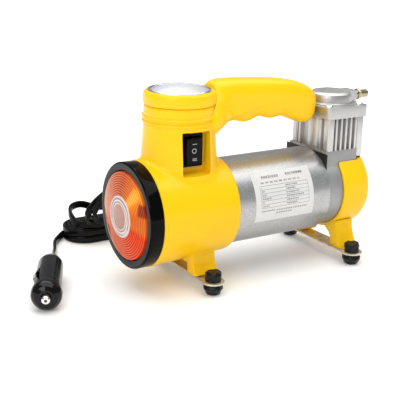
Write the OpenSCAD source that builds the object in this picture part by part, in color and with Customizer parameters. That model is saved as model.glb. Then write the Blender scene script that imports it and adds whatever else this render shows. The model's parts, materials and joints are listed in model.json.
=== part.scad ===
// Portable 12 V tire inflator with a work light, a gauge, a carry handle and a coiled lead.
// +X runs from the lamp to the compressor, +Y is the lead's side and +Z is up. The origin is under
// the middle of the object, on the floor. Lengths along X are stated from the lamp ring's face.

/* [Motor] */
// Height of the motor's axis above the floor
axis_z = 50.9; // [50.5:0.1:51.3]
// Outside radius of the motor can
can_r = 30.3; // [30:0.1:30.5]
// Where the motor can ends
can_end = 147.1; // [146.8:0.1:147.3]
// Radius of the motor shaft
shaft_r = 3; // [2.5:0.1:3]

/* [Front housing] */
// Outside radius of the lamp ring
ring_r = 35; // [34.6:0.1:35.3]
// Depth of the lamp ring
ring_depth = 8.4; // [8:0.1:8.8]
// Outside radius at the housing's front lip
lip_r = 36.1; // [36:0.1:36.4]
// Outside radius at the housing's rear edge
sleeve_r = 33.4; // [33:0.1:33.8]
// Where the housing's sleeve ends
sleeve_end = 69; // [67:0.5:70]
// Distance of the gauge column's axis from the lamp
column_x = 39; // [38.5:0.1:39.5]
// Outside radius of the gauge column
column_r = 24; // [23.8:0.1:24.2]

/* [Handle and gauge] */
// Width of the grip
grip_w = 24; // [22:0.5:25]
// Height of the seam between column and cap
cap_z = 123.2; // [122.8:0.1:123.6]
// Radius of the gauge's bezel
bezel_r = 21.5; // [21:0.1:21.6]

/* [Compressor] */
// Distance of the cylinder's axis from the lamp
cylinder_x = 166; // [165.8:0.1:166.2]
// Radius of the cylinder's bore
bore_r = 12; // [11:0.1:12.4]
// Distance of the crank pin from the motor's axis
throw = 7; // [6:0.1:7]
// Outside radius of the crankcase
case_r = 28.7; // [28.5:0.1:28.8]
// Radius of the outlet's hose thread
outlet_r = 3; // [2.8:0.1:3.2]

/* [Feet] */
// Distance of each foot from the middle
foot_y = 36.95; // [36.5:0.05:37.5]
// Widest radius of a rubber foot
foot_r = 6.9; // [6.6:0.1:7.1]

/* [Lead] */
// Width of the flat twin lead
lead_w = 5.5; // [5:0.1:5.8]
// Thickness of the flat twin lead
lead_t = 3; // [2.8:0.1:3.2]
// Radius of the plug's nose ring
nose_r = 10; // [9.9:0.05:10.5]

/* [Hidden] */

// The object reaches from the lens's crown to the end of the outlet.
lens_crown = -5;
outlet_end = 201.5;
middle_x = (lens_crown + outlet_end) / 2;

wall = 2;
front_foot_x = 45.1;
rear_foot_x = 164.8;
strip_z = 7.9;
strip_t = 1.2;
strip_top = strip_z + strip_t;
front_screw_x = 46;
rear_screw_x = 166;
strip_screw_y = 23;
cover_screw_angles = [90, 210, 330];
handle_screws = [[82, 113.6], [110, 114.4], [136, 121]];
ROUND = 96;
FINE = 48;

// Lamp
lens_r = 29.6;
lens_rise = 5;
lens_sphere_r = (lens_r * lens_r + lens_rise * lens_rise) / (2 * lens_rise);
lens_center_r = 14.2;
lens_t = 1.8;

// Compressor
cover_start = 160.5;
cover_end = 185.5;
cover_r = 31;
plate_t = 1;
case_end = 177;
pedestal_top = 81.6;
block_top = 105.05;
head_top = 112.9;
block_half_x = 16.4;
block_half_y = 21.1;
head_half_x = 18.5;
head_half_y = 22.45;
screw_dx = 13.8;
screw_dy = 17;
dome_top = 121.5;
outlet_z = 116.6;
rod_length = 40.6;
crank_pin_z = axis_z + throw;
wrist_z = crank_pin_z + rod_length;
piston_top = wrist_z + 5.6;
disc_start = 150.7;
disc_end = 158.9;
bearing_start = 144.6;

// Gauge
glass_z = 130.2;
dial_z = 126.4;
needle_z = 128.2;
stem_y = -9.5;
pipe_r = 2.4;
pipe_sides = 10;
pipe_bore_r = 4.6;
pipe_bore_z = 108.9;

// Plug: where its nose stands and which way it points
plug_nose = [-63.81, -13.05, nose_r + 0.05];
plug_turn = 64.2;
plug_ring_l = 8;
plug_body_start = 9;
plug_body_end = 64.5;
plug_r = 8.9;
contact_start = 12;
contact_l = 22;
// How far the two side contacts are rolled round the plug
contact_roll = 40;

// ---- Shared shapes ----

// Moves a piece from the lamp's face to the object's own origin.
module placed() { translate([-middle_x, 0, 0]) children(); }

// A round bar along X, on the motor's axis unless z says otherwise.
module bar_x(x0, x1, r, y = 0, z = axis_z) {
    translate([x0, y, z]) rotate([0, 90, 0]) cylinder(h = x1 - x0, r = r, $fn = ROUND);
}

// A round tube along X.
module tube_x(x0, x1, r_out, r_in, y = 0, z = axis_z) {
    difference() {
        bar_x(x0, x1, r_out, y, z);
        bar_x(x0 - 1, x1 + 1, r_in, y, z);
    }
}

// A turned piece about the motor's axis, from [radius, x] points.
module turned_x(points) {
    translate([0, 0, axis_z]) rotate([0, 90, 0]) rotate_extrude($fn = ROUND) polygon(points);
}

module upright(x, y, z0, z1, r, steps = FINE) {
    translate([x, y, z0]) cylinder(h = z1 - z0, r = r, $fn = steps);
}

// A block with upright rounded corners, centred on x and y.
module rounded_block(x, y, z0, z1, half_x, half_y, r) {
    translate([x, y, z0]) linear_extrude(z1 - z0) union() {
        square([2 * (half_x - r), 2 * half_y], center = true);
        square([2 * half_x, 2 * (half_y - r)], center = true);
        for (sx = [-1, 1], sy = [-1, 1])
            translate([sx * (half_x - r), sy * (half_y - r)]) circle(r = r, $fn = FINE);
    }
}

// ---- Flat twin lead ----

function unit(v) = v / norm(v);
function tangent(p, i) = unit(p[min(i + 1, len(p) - 1)] - p[max(i - 1, 0)]);

// Catmull-Rom point between p[i] and p[i + 1].
function between(p, i, t) =
    let (a = p[max(i - 1, 0)], b = p[i], c = p[i + 1], d = p[min(i + 2, len(p) - 1)])
    0.5 * (2 * b + (c - a) * t + (2 * a - 5 * b + 4 * c - d) * t * t
        + (3 * b - 3 * c + d - a) * t * t * t);

function smooth_route(p, steps) = concat(
    [for (i = [0:len(p) - 2], j = [0:steps - 1]) between(p, i, j / steps)], [p[len(p) - 1]]);

// One ring of the lead's flat section, standing on its edge.
function lead_ring(p, i, sides) =
    let (t = tangent(p, i), side = unit(cross(t, [0, 0, 1])), up = cross(side, t))
    [for (k = [0:sides - 1]) p[i]
        + side * (lead_t / 2) * cos((k + 0.5) * 360 / sides)
        + up * (lead_w / 2) * sin((k + 0.5) * 360 / sides)];

// Two end caps, and a quad between each pair of neighbouring corners
function tube_faces(rings, sides) = concat(
    [[for (k = [sides - 1:-1:0]) k]],
    [[for (k = [0:sides - 1]) (rings - 1) * sides + k]],
    [for (i = [0:rings - 2], k = [0:sides - 1])
        [i * sides + k, i * sides + (k + 1) % sides, (i + 1) * sides + (k + 1) % sides,
         (i + 1) * sides + k]]);

module swept_lead(p, sides = 8) {
    rings = [for (i = [0:len(p) - 1]) each lead_ring(p, i, sides)];
    polyhedron(points = rings, faces = tube_faces(len(p), sides));
}

// The lead's stretch from its gland to the hank, and from the hank to the plug
lead_route = [[24, 54.9, 50], [23.3, 60, 49.2], [21, 66, 45.6], [17.6, 72, 40], [14.4, 77.5, 34],
    [11.8, 82.5, 28], [11.6, 86.6, 22], [14.6, 88.8, 17.6], [22, 89.6, 15], [32, 90, 16],
    [40, 92, 18.2], [46, 98, 19.4], [47, 106, 19.6], [43, 112, 19.8], [36, 114.6, 20],
    [29.6, 115.6, 20.6], [24, 117, 22.6], [18.6, 117.2, 23.8], [11.3, 114, 23.7],
    [7.3, 109, 22.2], [6, 104, 19.8], [7, 99.5, 16.8], [10.4, 95.8, 14.6], [17, 93.6, 13.9],
    [27, 92.9, 13.84], [34, 92.8, 13.84]];
tail_route = [[1.4, 113, 2.8], [-4.2, 106, 2.8], [-11, 96.5, 2.9], [-18, 80.5, 3.5],
    [-25, 66.5, 5.4], [-30.8, 55, 8.4], [-34.6, 47.5, 9.9], [-35.72, 45.1, 10.05]];

hank_y = 108;
hank_start = 19;
hank_end = 129;
hank_inner_r = 7.4;
hank_outer_r = 20;
hank_h = 11.3;

// ---- Front housing ----

module front_housing() {
    color("gold") placed() difference() {
        union() {
            turned_x([[31.6, ring_depth], [lip_r - 1, ring_depth], [lip_r, ring_depth + 1.2],
                [lip_r - 0.3, ring_depth + 4], [sleeve_r + 0.4, 60], [sleeve_r, sleeve_end - 1],
                [sleeve_r - 1, sleeve_end], [can_r + 0.05, sleeve_end], [can_r + 0.05, 40],
                [31.6, 40]]);
            translate([column_x, 0, 0]) rotate_extrude($fn = ROUND) polygon([[0, axis_z + 20],
                [column_r + 0.9, axis_z + 20], [column_r + 0.3, 98], [column_r, 109.5],
                [column_r + 0.7, 110.3], [column_r, 111.2], [column_r, 113.2],
                [column_r + 0.7, 114.1], [column_r, 115], [column_r - 0.1, cap_z - 0.1],
                [0, cap_z - 0.1]]);
            front_bracket();
        }
        bar_x(-1, 40.5, 31.6);
        bar_x(40, 100, can_r + 0.05);
        column_hollow();
        switch_recess();
        bar_x(column_x, 80, pipe_bore_r, 0, pipe_bore_z);
        translate([24, 30, axis_z - 0.9]) rotate([-90, 0, 0]) cylinder(h = 10, r = 4.6, $fn = FINE);
        strip_screw_holes(front_screw_x);
    }
}

// The front feet hang from this flared bracket.
module front_bracket() {
    translate([37, 0, 0]) rotate([90, 0, 90]) linear_extrude(18.5) difference() {
        polygon([[-21.4, 26], [-23.6, 17], [-27.4, strip_top], [27.4, strip_top], [23.6, 17],
            [21.4, 26]]);
        polygon([[-16.5, 17], [-19, strip_top - 1], [19, strip_top - 1], [16.5, 17]]);
    }
}

// The column is hollow above the motor, apart from the pocket that holds the switch.
module column_hollow() {
    difference() {
        upright(column_x, 0, 60, cap_z + 1, column_r - wall - 0.1, ROUND);
        translate([27, -26, 79]) cube([24.2, 13, 32.6]);
    }
}

module switch_recess() {
    translate([28.5, -27, 78.9]) cube([21, 27 - 14.7, 28.9]);
    translate([column_x - 6.7, -20, 85]) cube([13.4, 10, 19.4]);
}

module column_cap() {
    color("gold") placed() translate([column_x, 0, 0]) rotate_extrude($fn = ROUND) polygon([
        [20.7, 119], [column_r - wall - 0.15, 119], [column_r - wall - 0.15, cap_z],
        [column_r, cap_z], [column_r + 0.4, cap_z + 1], [column_r + 0.4, 128.4],
        [column_r - 0.1, 130.4], [column_r - 1.1, 131.6], [column_r - 2, 131.9],
        [bezel_r + 0.05, 131.7], [bezel_r + 0.05, 128.5], [20.7, 128.5]]);
}

// ---- Handle ----

handle_side = [[53.8, 97], [62.4, 97], [66, 99.8], [71, 103.8], [75.4, 107], [78.4, 107.8],
    [82, 107.4], [85, 106.5], [88.5, 106.4], [92.5, 107.4], [96.5, 108.8], [100.2, 109.4],
    [104, 107.8], [108, 107], [112.5, 107.2], [117, 108.2], [121, 107.2], [127, 104.4],
    [134, 101.9], [139, 101.2], [143.4, 102.4], [146.4, 106.4], [147.6, 113], [147, 119],
    [144.4, 124.2], [137, 128.8], [121, 132.4], [105.5, 134.6], [90.5, 135.9], [76, 136.6],
    [66, 136.3], [62.2, 134.6], [60.4, 131.6], [53.8, 131.2]];

module handle_half(side) {
    color("gold") placed() difference() {
        intersection() {
            union() {
                rotate([90, 0, 0]) linear_extrude(grip_w - 7, center = true)
                    polygon(handle_side);
                rotate([90, 0, 0]) linear_extrude(grip_w, center = true)
                    offset(delta = -3) polygon(handle_side);
            }
            translate([0, side > 0 ? 0 : -30, 90]) cube([200, 30, 60]);
        }
        handle_hollow();
        upright(column_x, 0, 90, 133, column_r + 0.75, ROUND);
        bar_x(50, 62, pipe_bore_r, 0, pipe_bore_z);
        bar_x(135, 150, 3.2, 0, 109);
        for (p = handle_screws)
            translate([p[0], -8, p[1]]) rotate([-90, 0, 0]) cylinder(h = 22, r = 1.5, $fn = FINE);
    }
}

// The grip is hollow apart from a boss round each screw.
module handle_hollow() {
    rotate([90, 0, 0]) linear_extrude(grip_w - 12, center = true) difference() {
        offset(delta = -6) polygon(handle_side);
        for (p = handle_screws) translate(p) circle(r = 3.2, $fn = FINE);
    }
}

module handle_left() { handle_half(1); }

module handle_right() { handle_half(-1); }

// ---- Rear cover ----

module rear_cover() {
    color("gold") placed() difference() {
        union() {
            turned_x([[case_r + 0.3, cover_start], [cover_r - 0.6, cover_start],
                [cover_r, cover_start + 0.6], [cover_r, 179], [cover_r - 0.8, 182.4],
                [cover_r - 2.6, 184.7], [cover_r - 5.4, cover_end], [0, cover_end],
                [0, cover_end - wall], [case_r + 0.3, cover_end - wall]]);
            for (side = [-1, 1]) cover_leg(side);
        }
        bar_x(cover_start - 1, cover_end - wall, case_r + 0.3);
        translate([cover_start - 1, -21.7, 70.5]) cube([19, 43.4, 20]);
        translate([cover_start - 1, -22.6, 73.6]) cube([23.8, 45.2, 20]);
        for (a = cover_screw_angles)
            bar_x(cover_end - 4, cover_end + 1, 1.6, 20 * cos(a), axis_z + 20 * sin(a));
        strip_screw_holes(rear_screw_x);
    }
}

module strip_screw_holes(x) {
    for (y = [-strip_screw_y, strip_screw_y]) upright(x, y, strip_z - 1, 14, 1.4);
}

module cover_leg(side) {
    translate([cover_start, 0, 0]) rotate([90, 0, 90]) linear_extrude(15.5)
        polygon([for (p = [[10, 21.4], [22.5, 28.6], [23.2, 22], [25.4, 15], [29.5, strip_top],
            [18, strip_top], [17.2, 15], [15, 18.2]]) [side * p[0], p[1]]]);
}

// ---- Screws ----

module pan_screw(head_r, head_h, shank_r, shank_l) {
    difference() {
        union() {
            rotate_extrude($fn = FINE) polygon([[0, 0], [head_r, 0], [head_r, head_h * 0.35],
                [head_r * 0.72, head_h * 0.85], [0, head_h]]);
            translate([0, 0, -shank_l]) cylinder(h = shank_l + 0.1, r = shank_r, $fn = FINE);
        }
        translate([-head_r * 0.6, -0.3, head_h * 0.5]) cube([head_r * 1.2, 0.6, head_h]);
        translate([-0.3, -head_r * 0.6, head_h * 0.5]) cube([0.6, head_r * 1.2, head_h]);
    }
}

// Three join the handle's halves, three hold the rear cover and four hold the foot strips.
module housing_screws() {
    color("silver") placed() {
        for (p = handle_screws)
            translate([p[0], grip_w / 2, p[1]]) rotate([-90, 0, 0]) pan_screw(2.6, 1.2, 1.45, 19);
        for (a = cover_screw_angles)
            translate([cover_end, 20 * cos(a), axis_z + 20 * sin(a)]) rotate([0, 90, 0])
                pan_screw(2.8, 1.6, 1.55, 8);
        for (x = [front_screw_x, rear_screw_x], y = [-strip_screw_y, strip_screw_y])
            translate([x, y, strip_z]) rotate([180, 0, 0]) pan_screw(2.4, 1.3, 1.4, 4.5);
    }
}

module head_screws() {
    color("gainsboro") placed()
        for (sx = [-1, 1], sy = [-1, 1])
            translate([cylinder_x + sx * screw_dx, sy * screw_dy, head_top])
                rotate([0, 0, 20 + 35 * sx + 12 * sy]) pan_screw(3, 2, 1.95, 18);
}

// ---- Feet ----

module foot_strips() {
    color("tan") placed()
        for (x = [front_foot_x, rear_foot_x]) difference() {
            union() {
                translate([x - 6, -foot_y, strip_z]) cube([12, 2 * foot_y, strip_t]);
                for (y = [-foot_y, foot_y]) upright(x, y, strip_z, strip_top, 7.6);
            }
            for (y = [-foot_y, foot_y]) upright(x, y, strip_z - 1, strip_top + 1, 3.6);
            strip_screw_holes(x == front_foot_x ? front_screw_x : rear_screw_x);
        }
}

module rubber_feet() {
    color("dimgray") placed()
        for (x = [front_foot_x, rear_foot_x], y = [-foot_y, foot_y])
            translate([x, y, 0]) rotate_extrude($fn = FINE) polygon([[0, 0], [4.4, 0], [5.4, 0.9],
                [6, 2.6], [foot_r, 4], [foot_r, 5.2], [6, 6.4], [6.2, strip_z], [3.55, strip_z],
                [3.55, strip_top], [5.5, strip_top], [5.6, 14.2], [5.1, 15.4], [3.8, 16.2],
                [0, 16.3]]);
}

// ---- Lamp ----

module lamp_ring() {
    color("black") placed() turned_x([[lens_r + 0.1, 0.5], [30.6, 0], [34.3, 0], [ring_r, 0.8],
        [ring_r, ring_depth], [31.4, ring_depth], [31.4, 14], [lens_r + 0.3, 14],
        [lens_r + 0.3, 3], [lens_r + 0.1, 3]]);
}

function lens_x(r) = lens_crown + lens_sphere_r - sqrt(lens_sphere_r * lens_sphere_r - r * r);

// A curved ring of lens between two radii
module lens_band(r0, r1) {
    steps = 10;
    outer = [for (i = [0:steps]) let (r = r0 + (r1 - r0) * i / steps) [r, lens_x(r)]];
    inner = [for (i = [steps:-1:0]) let (r = r0 + (r1 - r0) * i / steps) [r, lens_x(r) + lens_t]];
    turned_x(concat(outer, inner));
}

module lamp_lens() {
    color("orangered") placed() union() {
        lens_band(lens_center_r, lens_r);
        tube_x(lens_x(lens_r), 6, lens_r, lens_r - lens_t);
    }
}

module lamp_lens_center() { color("mistyrose") placed() lens_band(0, lens_center_r - 0.02); }

module lamp_reflector() {
    color("silver") placed() turned_x([[27.4, 3.6], [27.6, 3.6], [27.6, 4.4], [24, 12], [16, 21],
        [7.5, 26.5], [7.5, 31], [6.3, 31], [6.3, 26], [15.2, 20.2], [23, 11.4], [26.6, 4.4]]);
}

module lamp_bulbs() {
    color("white") placed() {
        bar_x(17, 36, 4, 0, axis_z);
        translate([17, 0, axis_z]) sphere(r = 4, $fn = FINE);
    }
}

// ---- Switch ----

module switch_body() {
    color("black") placed() union() {
        difference() {
            union() {
                rounded_block_y(column_x, 94.6, -14.7, -17.2, 7.9, 11.1, 1);
                translate([column_x - 6.6, -14.8, 85.1]) cube([13.2, 18, 19.2]);
            }
            rounded_block_y(column_x, 94.6, -11, -18, 6.3, 9.3, 0.6);
        }
        for (z = [88.6, 94.6, 100.6]) translate([column_x - 0.4, 3, z - 2.4]) cube([0.8, 8, 4.8]);
    }
}

// A plate between two Y values with rounded corners in X and Z
module rounded_block_y(x, z, y0, y1, half_x, half_z, r) {
    translate([x, y0, z]) rotate([90, 0, 0]) linear_extrude(y0 - y1) union() {
        square([2 * (half_x - r), 2 * half_z], center = true);
        square([2 * half_x, 2 * (half_z - r)], center = true);
        for (sx = [-1, 1], sz = [-1, 1])
            translate([sx * (half_x - r), sz * (half_z - r)]) circle(r = r, $fn = FINE);
    }
}

// The rocker is slightly hollow across its face, and turns about X.
rocker_pivot_y = -14.8;
rocker_z = 94.6;

module switch_rocker() {
    color("black") placed() translate([column_x - 5.9, 0, rocker_z]) rotate([90, 0, 90])
        linear_extrude(11.8) polygon([[-12.4, -6.6], [-18.6, -8.6], [-20.8, -8.2], [-19.7, 0],
            [-20.8, 8.2], [-18.6, 8.6], [-12.4, 6.6]]);
}

// ---- Gauge ----

module gauge_case() {
    color("silver") placed() difference() {
        translate([column_x, 0, 0]) rotate_extrude($fn = ROUND) polygon([[0, 112.4],
            [20.5, 112.4], [20.5, 130], [19.6, 130], [19.6, 113.4], [0, 113.4]]);
        upright(column_x, stem_y, 110, 115, 3.05);
    }
}

module gauge_bezel() {
    color("silver") placed() translate([column_x, 0, 0]) rotate_extrude($fn = ROUND) polygon([
        [20.55, 128.6], [bezel_r, 128.6], [bezel_r, 132], [20.9, 132.7], [19.6, 132.4],
        [19.1, 131.7], [20.55, 131.7]]);
}

module gauge_glass() { color("lightcyan") placed() upright(column_x, 0, glass_z, 131.6, 19.4, ROUND); }

module gauge_dial() {
    color("white") placed() difference() {
        upright(column_x, 0, dial_z, dial_z + 0.6, 19.2, ROUND);
        upright(column_x, 0, dial_z - 1, dial_z + 2, 1.2);
    }
}

// The needle's joint turns about Z at the gauge's centre.
module gauge_needle() {
    color("black") placed() translate([column_x, 0, needle_z]) rotate([0, 0, -135]) union() {
        cylinder(h = 0.9, r = 2.2, $fn = FINE);
        translate([0, 0, -3.2]) cylinder(h = 3.4, r = 0.6, $fn = FINE);
        linear_extrude(0.5) polygon([[-5, -0.9], [-5, 0.9], [0, 0.7], [15.6, 0.15], [15.6, -0.15],
            [0, -0.7]]);
    }
}

// The curved pressure tube, its post and the stem that the pipe pushes on to
module gauge_movement() {
    color("goldenrod") placed() union() {
        translate([column_x, 0, 0]) rotate_extrude(angle = 262, $fn = ROUND) translate([14, 118])
            polygon([[-0.8, -2], [0.8, -2], [0.8, 2], [-0.8, 2]]);
        translate([column_x - 3, -14.8, 113.45]) cube([6, 3.4, 7]);
        upright(column_x, stem_y, 104.8, 114, 3);
        translate([column_x - 4, -14.8, 113.45]) cube([8, 15, 2]);
        difference() {
            upright(column_x, 0, 113.45, 124.6, 2);
            upright(column_x, 0, 116, 125, 0.7);
        }
    }
}

pipe_route = [[42.05, -9.5, 107.6], [46, -7, 107.8], [52, -3, 108.2], [57, -0.6, 108.6],
    [62, 0, 109.2], [66, 0, 111.4], [70, 0, 114.8], [75, 0, 118.4], [82, 0, 120.8], [96, 0, 122.2], [110, 0, 121.4],
    [122, 0, 118.4], [131, 0, 113.6], [138, 0, 109.8], [143, 0, 109], [148, 0, 109]];

module gauge_pipe() {
    color("dimgray") placed() {
        p = smooth_route(pipe_route, 2);
        polyhedron(points = [for (i = [0:len(p) - 1]) each pipe_ring(p, i)],
            faces = tube_faces(len(p), pipe_sides));
    }
}

function pipe_ring(p, i) =
    let (t = tangent(p, i), side = unit(cross(t, [0, 0, 1])), up = cross(side, t))
    [for (k = [0:pipe_sides - 1]) p[i]
        + side * pipe_r * cos(k * 360 / pipe_sides) + up * pipe_r * sin(k * 360 / pipe_sides)];

// ---- Motor ----

module motor_can() {
    color("silver") placed() union() {
        tube_x(41, can_end, can_r, can_r - 1.6);
        tube_x(can_end - 1.4, can_end, can_r - 1, 10);
    }
}

module field_magnets() {
    color("dimgray") placed() for (a = [0, 180]) intersection() {
        tube_x(66, 128, can_r - 1.65, 22);
        translate([60, 0, axis_z]) rotate([a + 32, 0, 0]) cube([80, 40, 40]);
        translate([60, 0, axis_z]) rotate([a + 58 - 90 + 32, 0, 0]) cube([80, 40, 40]);
    }
}

module armature_core() {
    color("slategray") placed() difference() {
        bar_x(74, 122, 20.6);
        for (a = [0:30:330]) translate([0, 0, axis_z]) rotate([a, 0, 0]) {
            translate([73, -0.9, 17]) cube([50, 1.8, 5]);
            translate([73, 0, 14.5]) rotate([0, 90, 0]) cylinder(h = 50, r = 2.8, $fn = 32);
        }
        bar_x(73, 123, shaft_r);
    }
}

// End turns, and one bundle of wire in each slot
module armature_windings() {
    color("peru") placed() union() {
        turned_x([[shaft_r + 2.5, 67], [13, 66], [17, 68], [18, 73.95], [shaft_r + 2.5, 73.95]]);
        turned_x([[shaft_r + 2.5, 122.05], [18, 122.05], [17, 128], [13, 130], [shaft_r + 2.5, 129]]);
        for (a = [0:30:330]) translate([0, 0, axis_z]) rotate([a, 0, 0])
            translate([73.9, 0, 14.5]) rotate([0, 90, 0]) cylinder(h = 48.2, r = 2.6, $fn = 32);
    }
}

module commutator() {
    color("chocolate") placed() difference() {
        bar_x(51, 65, 9);
        for (a = [15:30:345]) translate([50, 0, axis_z]) rotate([a, 0, 0])
            translate([0, -0.25, 8.2]) cube([13, 0.5, 2]);
        bar_x(50, 66, shaft_r);
    }
}

module motor_shaft() { color("lightgray") placed() bar_x(40.6, disc_end - 0.4, shaft_r); }

module bearing_x(x0, x1, r_out, r_in) {
    tube_x(x0, x1, r_out, r_out - (r_out - r_in) * 0.3);
    tube_x(x0, x1, r_in + (r_out - r_in) * 0.3, r_in);
    tube_x(x0 + 1, x1 - 1, r_out - (r_out - r_in) * 0.29, r_in + (r_out - r_in) * 0.29);
}

module shaft_bearings() {
    color("silver") placed() {
        bearing_x(41.6, 46.6, 8, shaft_r + 0.05);
        bearing_x(bearing_start, bearing_start + 5, 8, shaft_r + 0.05);
    }
}

module brush_end_cap() {
    color("saddlebrown") placed() difference() {
        union() {
            turned_x([[7.9, 41.2], [can_r - 1.65, 41.2], [can_r - 1.65, 48], [can_r - 3.2, 48],
                [can_r - 3.2, 43.2], [11, 43.2], [11, 47], [8.02, 47], [8.02, 41.5]]);
            for (side = [-1, 1]) translate([53, side > 0 ? 9.7 : -22.7, axis_z - 3.6])
                cube([9, 13, 7.2]);
            for (side = [-1, 1]) translate([43, side > 0 ? 18 : -22, axis_z - 3])
                cube([12, 4, 6]);
        }
        for (side = [-1, 1]) translate([54.4, side > 0 ? 8 : -24, axis_z - 2.6])
            cube([6.2, 16, 5.2]);
        tube_x(30, 41.25, 40, 0.1);
    }
}

module carbon_brushes() {
    color("dimgray") placed() for (side = [-1, 1])
        translate([54.5, side > 0 ? 9.4 : -18.4, axis_z - 2.5]) cube([6, 9, 5]);
}

label_start = 82.8;
label_end = 132.2;

module rating_label() {
    color("whitesmoke") placed() intersection() {
        tube_x(label_start, label_end, can_r + 0.15, can_r);
        translate([80, -60, axis_z - (can_r + 1) * sin(18)]) cube([60, 60, 32.5]);
    }
}

// ---- Crankcase and crank ----

module motor_plate() {
    color("black") placed() difference() {
        union() {
            bar_x(can_end, can_end + plate_t, case_r - 0.3);
            translate([can_end, -23.4, axis_z + 5]) cube([plate_t, 46.8, 24.3]);
        }
        bar_x(can_end - 1, can_end + plate_t + 1, 9.6);
    }
}

case_start = can_end + plate_t;

module crankcase() {
    color("darkgray") placed() difference() {
        union() {
            bar_x(case_start, case_end, case_r);
            translate([case_start, -block_half_y, axis_z])
                cube([case_end - case_start, 2 * block_half_y, pedestal_top - axis_z]);
        }
        bar_x(case_start + 2, case_end + 1, case_r - 3.2);
        bar_x(case_start - 1, case_start + 3, 8.02);
        upright(cylinder_x, 0, axis_z, pedestal_top + 1, bore_r + 0.6, ROUND);
    }
}

module crank_disc() {
    color("gray") placed() difference() {
        union() {
            bar_x(disc_start, disc_end, 12);
            intersection() {
                bar_x(disc_start, disc_end, 22);
                translate([disc_start, -18, axis_z - 30]) cube([20, 36, 26]);
            }
        }
        bar_x(disc_start - 1, disc_end - 0.4, shaft_r);
    }
}

module crank_pin() {
    color("lightgray") placed() bar_x(disc_end + 0.4, 172, 3, 0, crank_pin_z);
}

module rod_bearing() {
    color("silver") placed() difference() {
        bar_x(cylinder_x - 3.4, cylinder_x + 3.4, 5.5, 0, crank_pin_z);
        bar_x(cylinder_x - 5, cylinder_x + 5, 3.02, 0, crank_pin_z);
    }
}

module connecting_rod() {
    color("lightsteelblue") placed() difference() {
        union() {
            bar_x(cylinder_x - 3, cylinder_x + 3, 8, 0, crank_pin_z);
            bar_x(cylinder_x - 2.6, cylinder_x + 2.6, 4.2, 0, wrist_z);
            translate([cylinder_x - 2, -3, crank_pin_z + 6]) cube([4, 6, rod_length - 8]);
        }
        bar_x(cylinder_x - 5, cylinder_x + 5, 5.5, 0, crank_pin_z);
        bar_x(cylinder_x - 5, cylinder_x + 5, 2.05, 0, wrist_z);
    }
}

module wrist_pin() {
    color("lightgray") placed() bar_x(cylinder_x - 10, cylinder_x + 10, 2, 0, wrist_z);
}

module piston() {
    color("silver") placed() difference() {
        translate([cylinder_x, 0, 0]) rotate_extrude($fn = ROUND) polygon([[0, wrist_z - 4.5],
            [bore_r - 0.06, wrist_z - 4.5], [bore_r - 0.06, piston_top - 3],
            [bore_r - 1.4, piston_top - 3], [bore_r - 1.4, piston_top - 1.4],
            [bore_r - 0.06, piston_top - 1.4], [bore_r - 0.06, piston_top], [0, piston_top]]);
        translate([cylinder_x - 3.2, -5, wrist_z - 6]) cube([6.4, 10, 10.8]);
        bar_x(cylinder_x - 10.2, cylinder_x + 10.2, 2, 0, wrist_z);
    }
}

module piston_seal() {
    color("ivory") placed() difference() {
        upright(cylinder_x, 0, piston_top - 2.9, piston_top - 1.5, bore_r - 0.03, ROUND);
        upright(cylinder_x, 0, piston_top - 4, piston_top, bore_r - 1.4, ROUND);
    }
}

// ---- Cylinder ----

fin_count = 5;

module cylinder_block() {
    color("silver") placed() difference() {
        union() {
            rounded_block(cylinder_x, 0, pedestal_top, block_top, block_half_x - 2.6,
                block_half_y - 3.4, 1);
            for (sx = [-1, 1], sy = [-1, 1])
                rounded_block(cylinder_x + sx * (block_half_x - 3), sy * (block_half_y - 3),
                    sx > 0 ? pedestal_top - 6 : pedestal_top, block_top, 3, 3, 1.6);
            for (i = [0:fin_count - 1], side = [-1, 1])
                translate([cylinder_x - 8.8 + 4.4 * i - 0.8, side > 0 ? 16 : -block_half_y,
                    pedestal_top]) cube([1.6, block_half_y - 16, block_top - pedestal_top]);
            for (side = [-1, 1]) {
                upright(cylinder_x + side * (block_half_x - 9), 0, pedestal_top, block_top, 9);
                for (y = [-12, 12]) translate([cylinder_x + side * (block_half_x - 2.2) - 2.2,
                    y - 0.9, pedestal_top]) cube([4.4, 1.8, block_top - pedestal_top]);
            }
        }
        upright(cylinder_x, 0, pedestal_top - 1, block_top + 1, bore_r, ROUND);
        head_screw_holes();
        bar_x(case_start, case_end + 0.05, case_r);
        translate([case_end - 4, -block_half_y - 0.05, 70])
            cube([4.05, 2 * block_half_y + 0.1, pedestal_top - 70]);
    }
}

module head_screw_holes() {
    for (sx = [-1, 1], sy = [-1, 1])
        upright(cylinder_x + sx * screw_dx, sy * screw_dy, head_top - 18.5, head_top + 1, 1.95);
}

module head_gasket() {
    color("dimgray") placed() difference() {
        upright(cylinder_x, 0, block_top, block_top + 0.5, 16, ROUND);
        upright(cylinder_x, 0, block_top - 1, block_top + 1, bore_r, ROUND);
    }
}

module valve_plate() {
    color("lightsteelblue") placed() difference() {
        upright(cylinder_x, 0, block_top + 0.5, block_top + 2, 16, ROUND);
        upright(cylinder_x + 4, 0, block_top, block_top + 3, 1.6);
    }
}

// A thin flap over the valve plate's hole, held at its far end
module outlet_reed() {
    color("lightgray") placed() union() {
        translate([cylinder_x - 6, -2.2, block_top + 2.35]) cube([10, 4.4, 0.3]);
        upright(cylinder_x + 4, 0, block_top + 2.35, block_top + 2.65, 3);
    }
}

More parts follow.
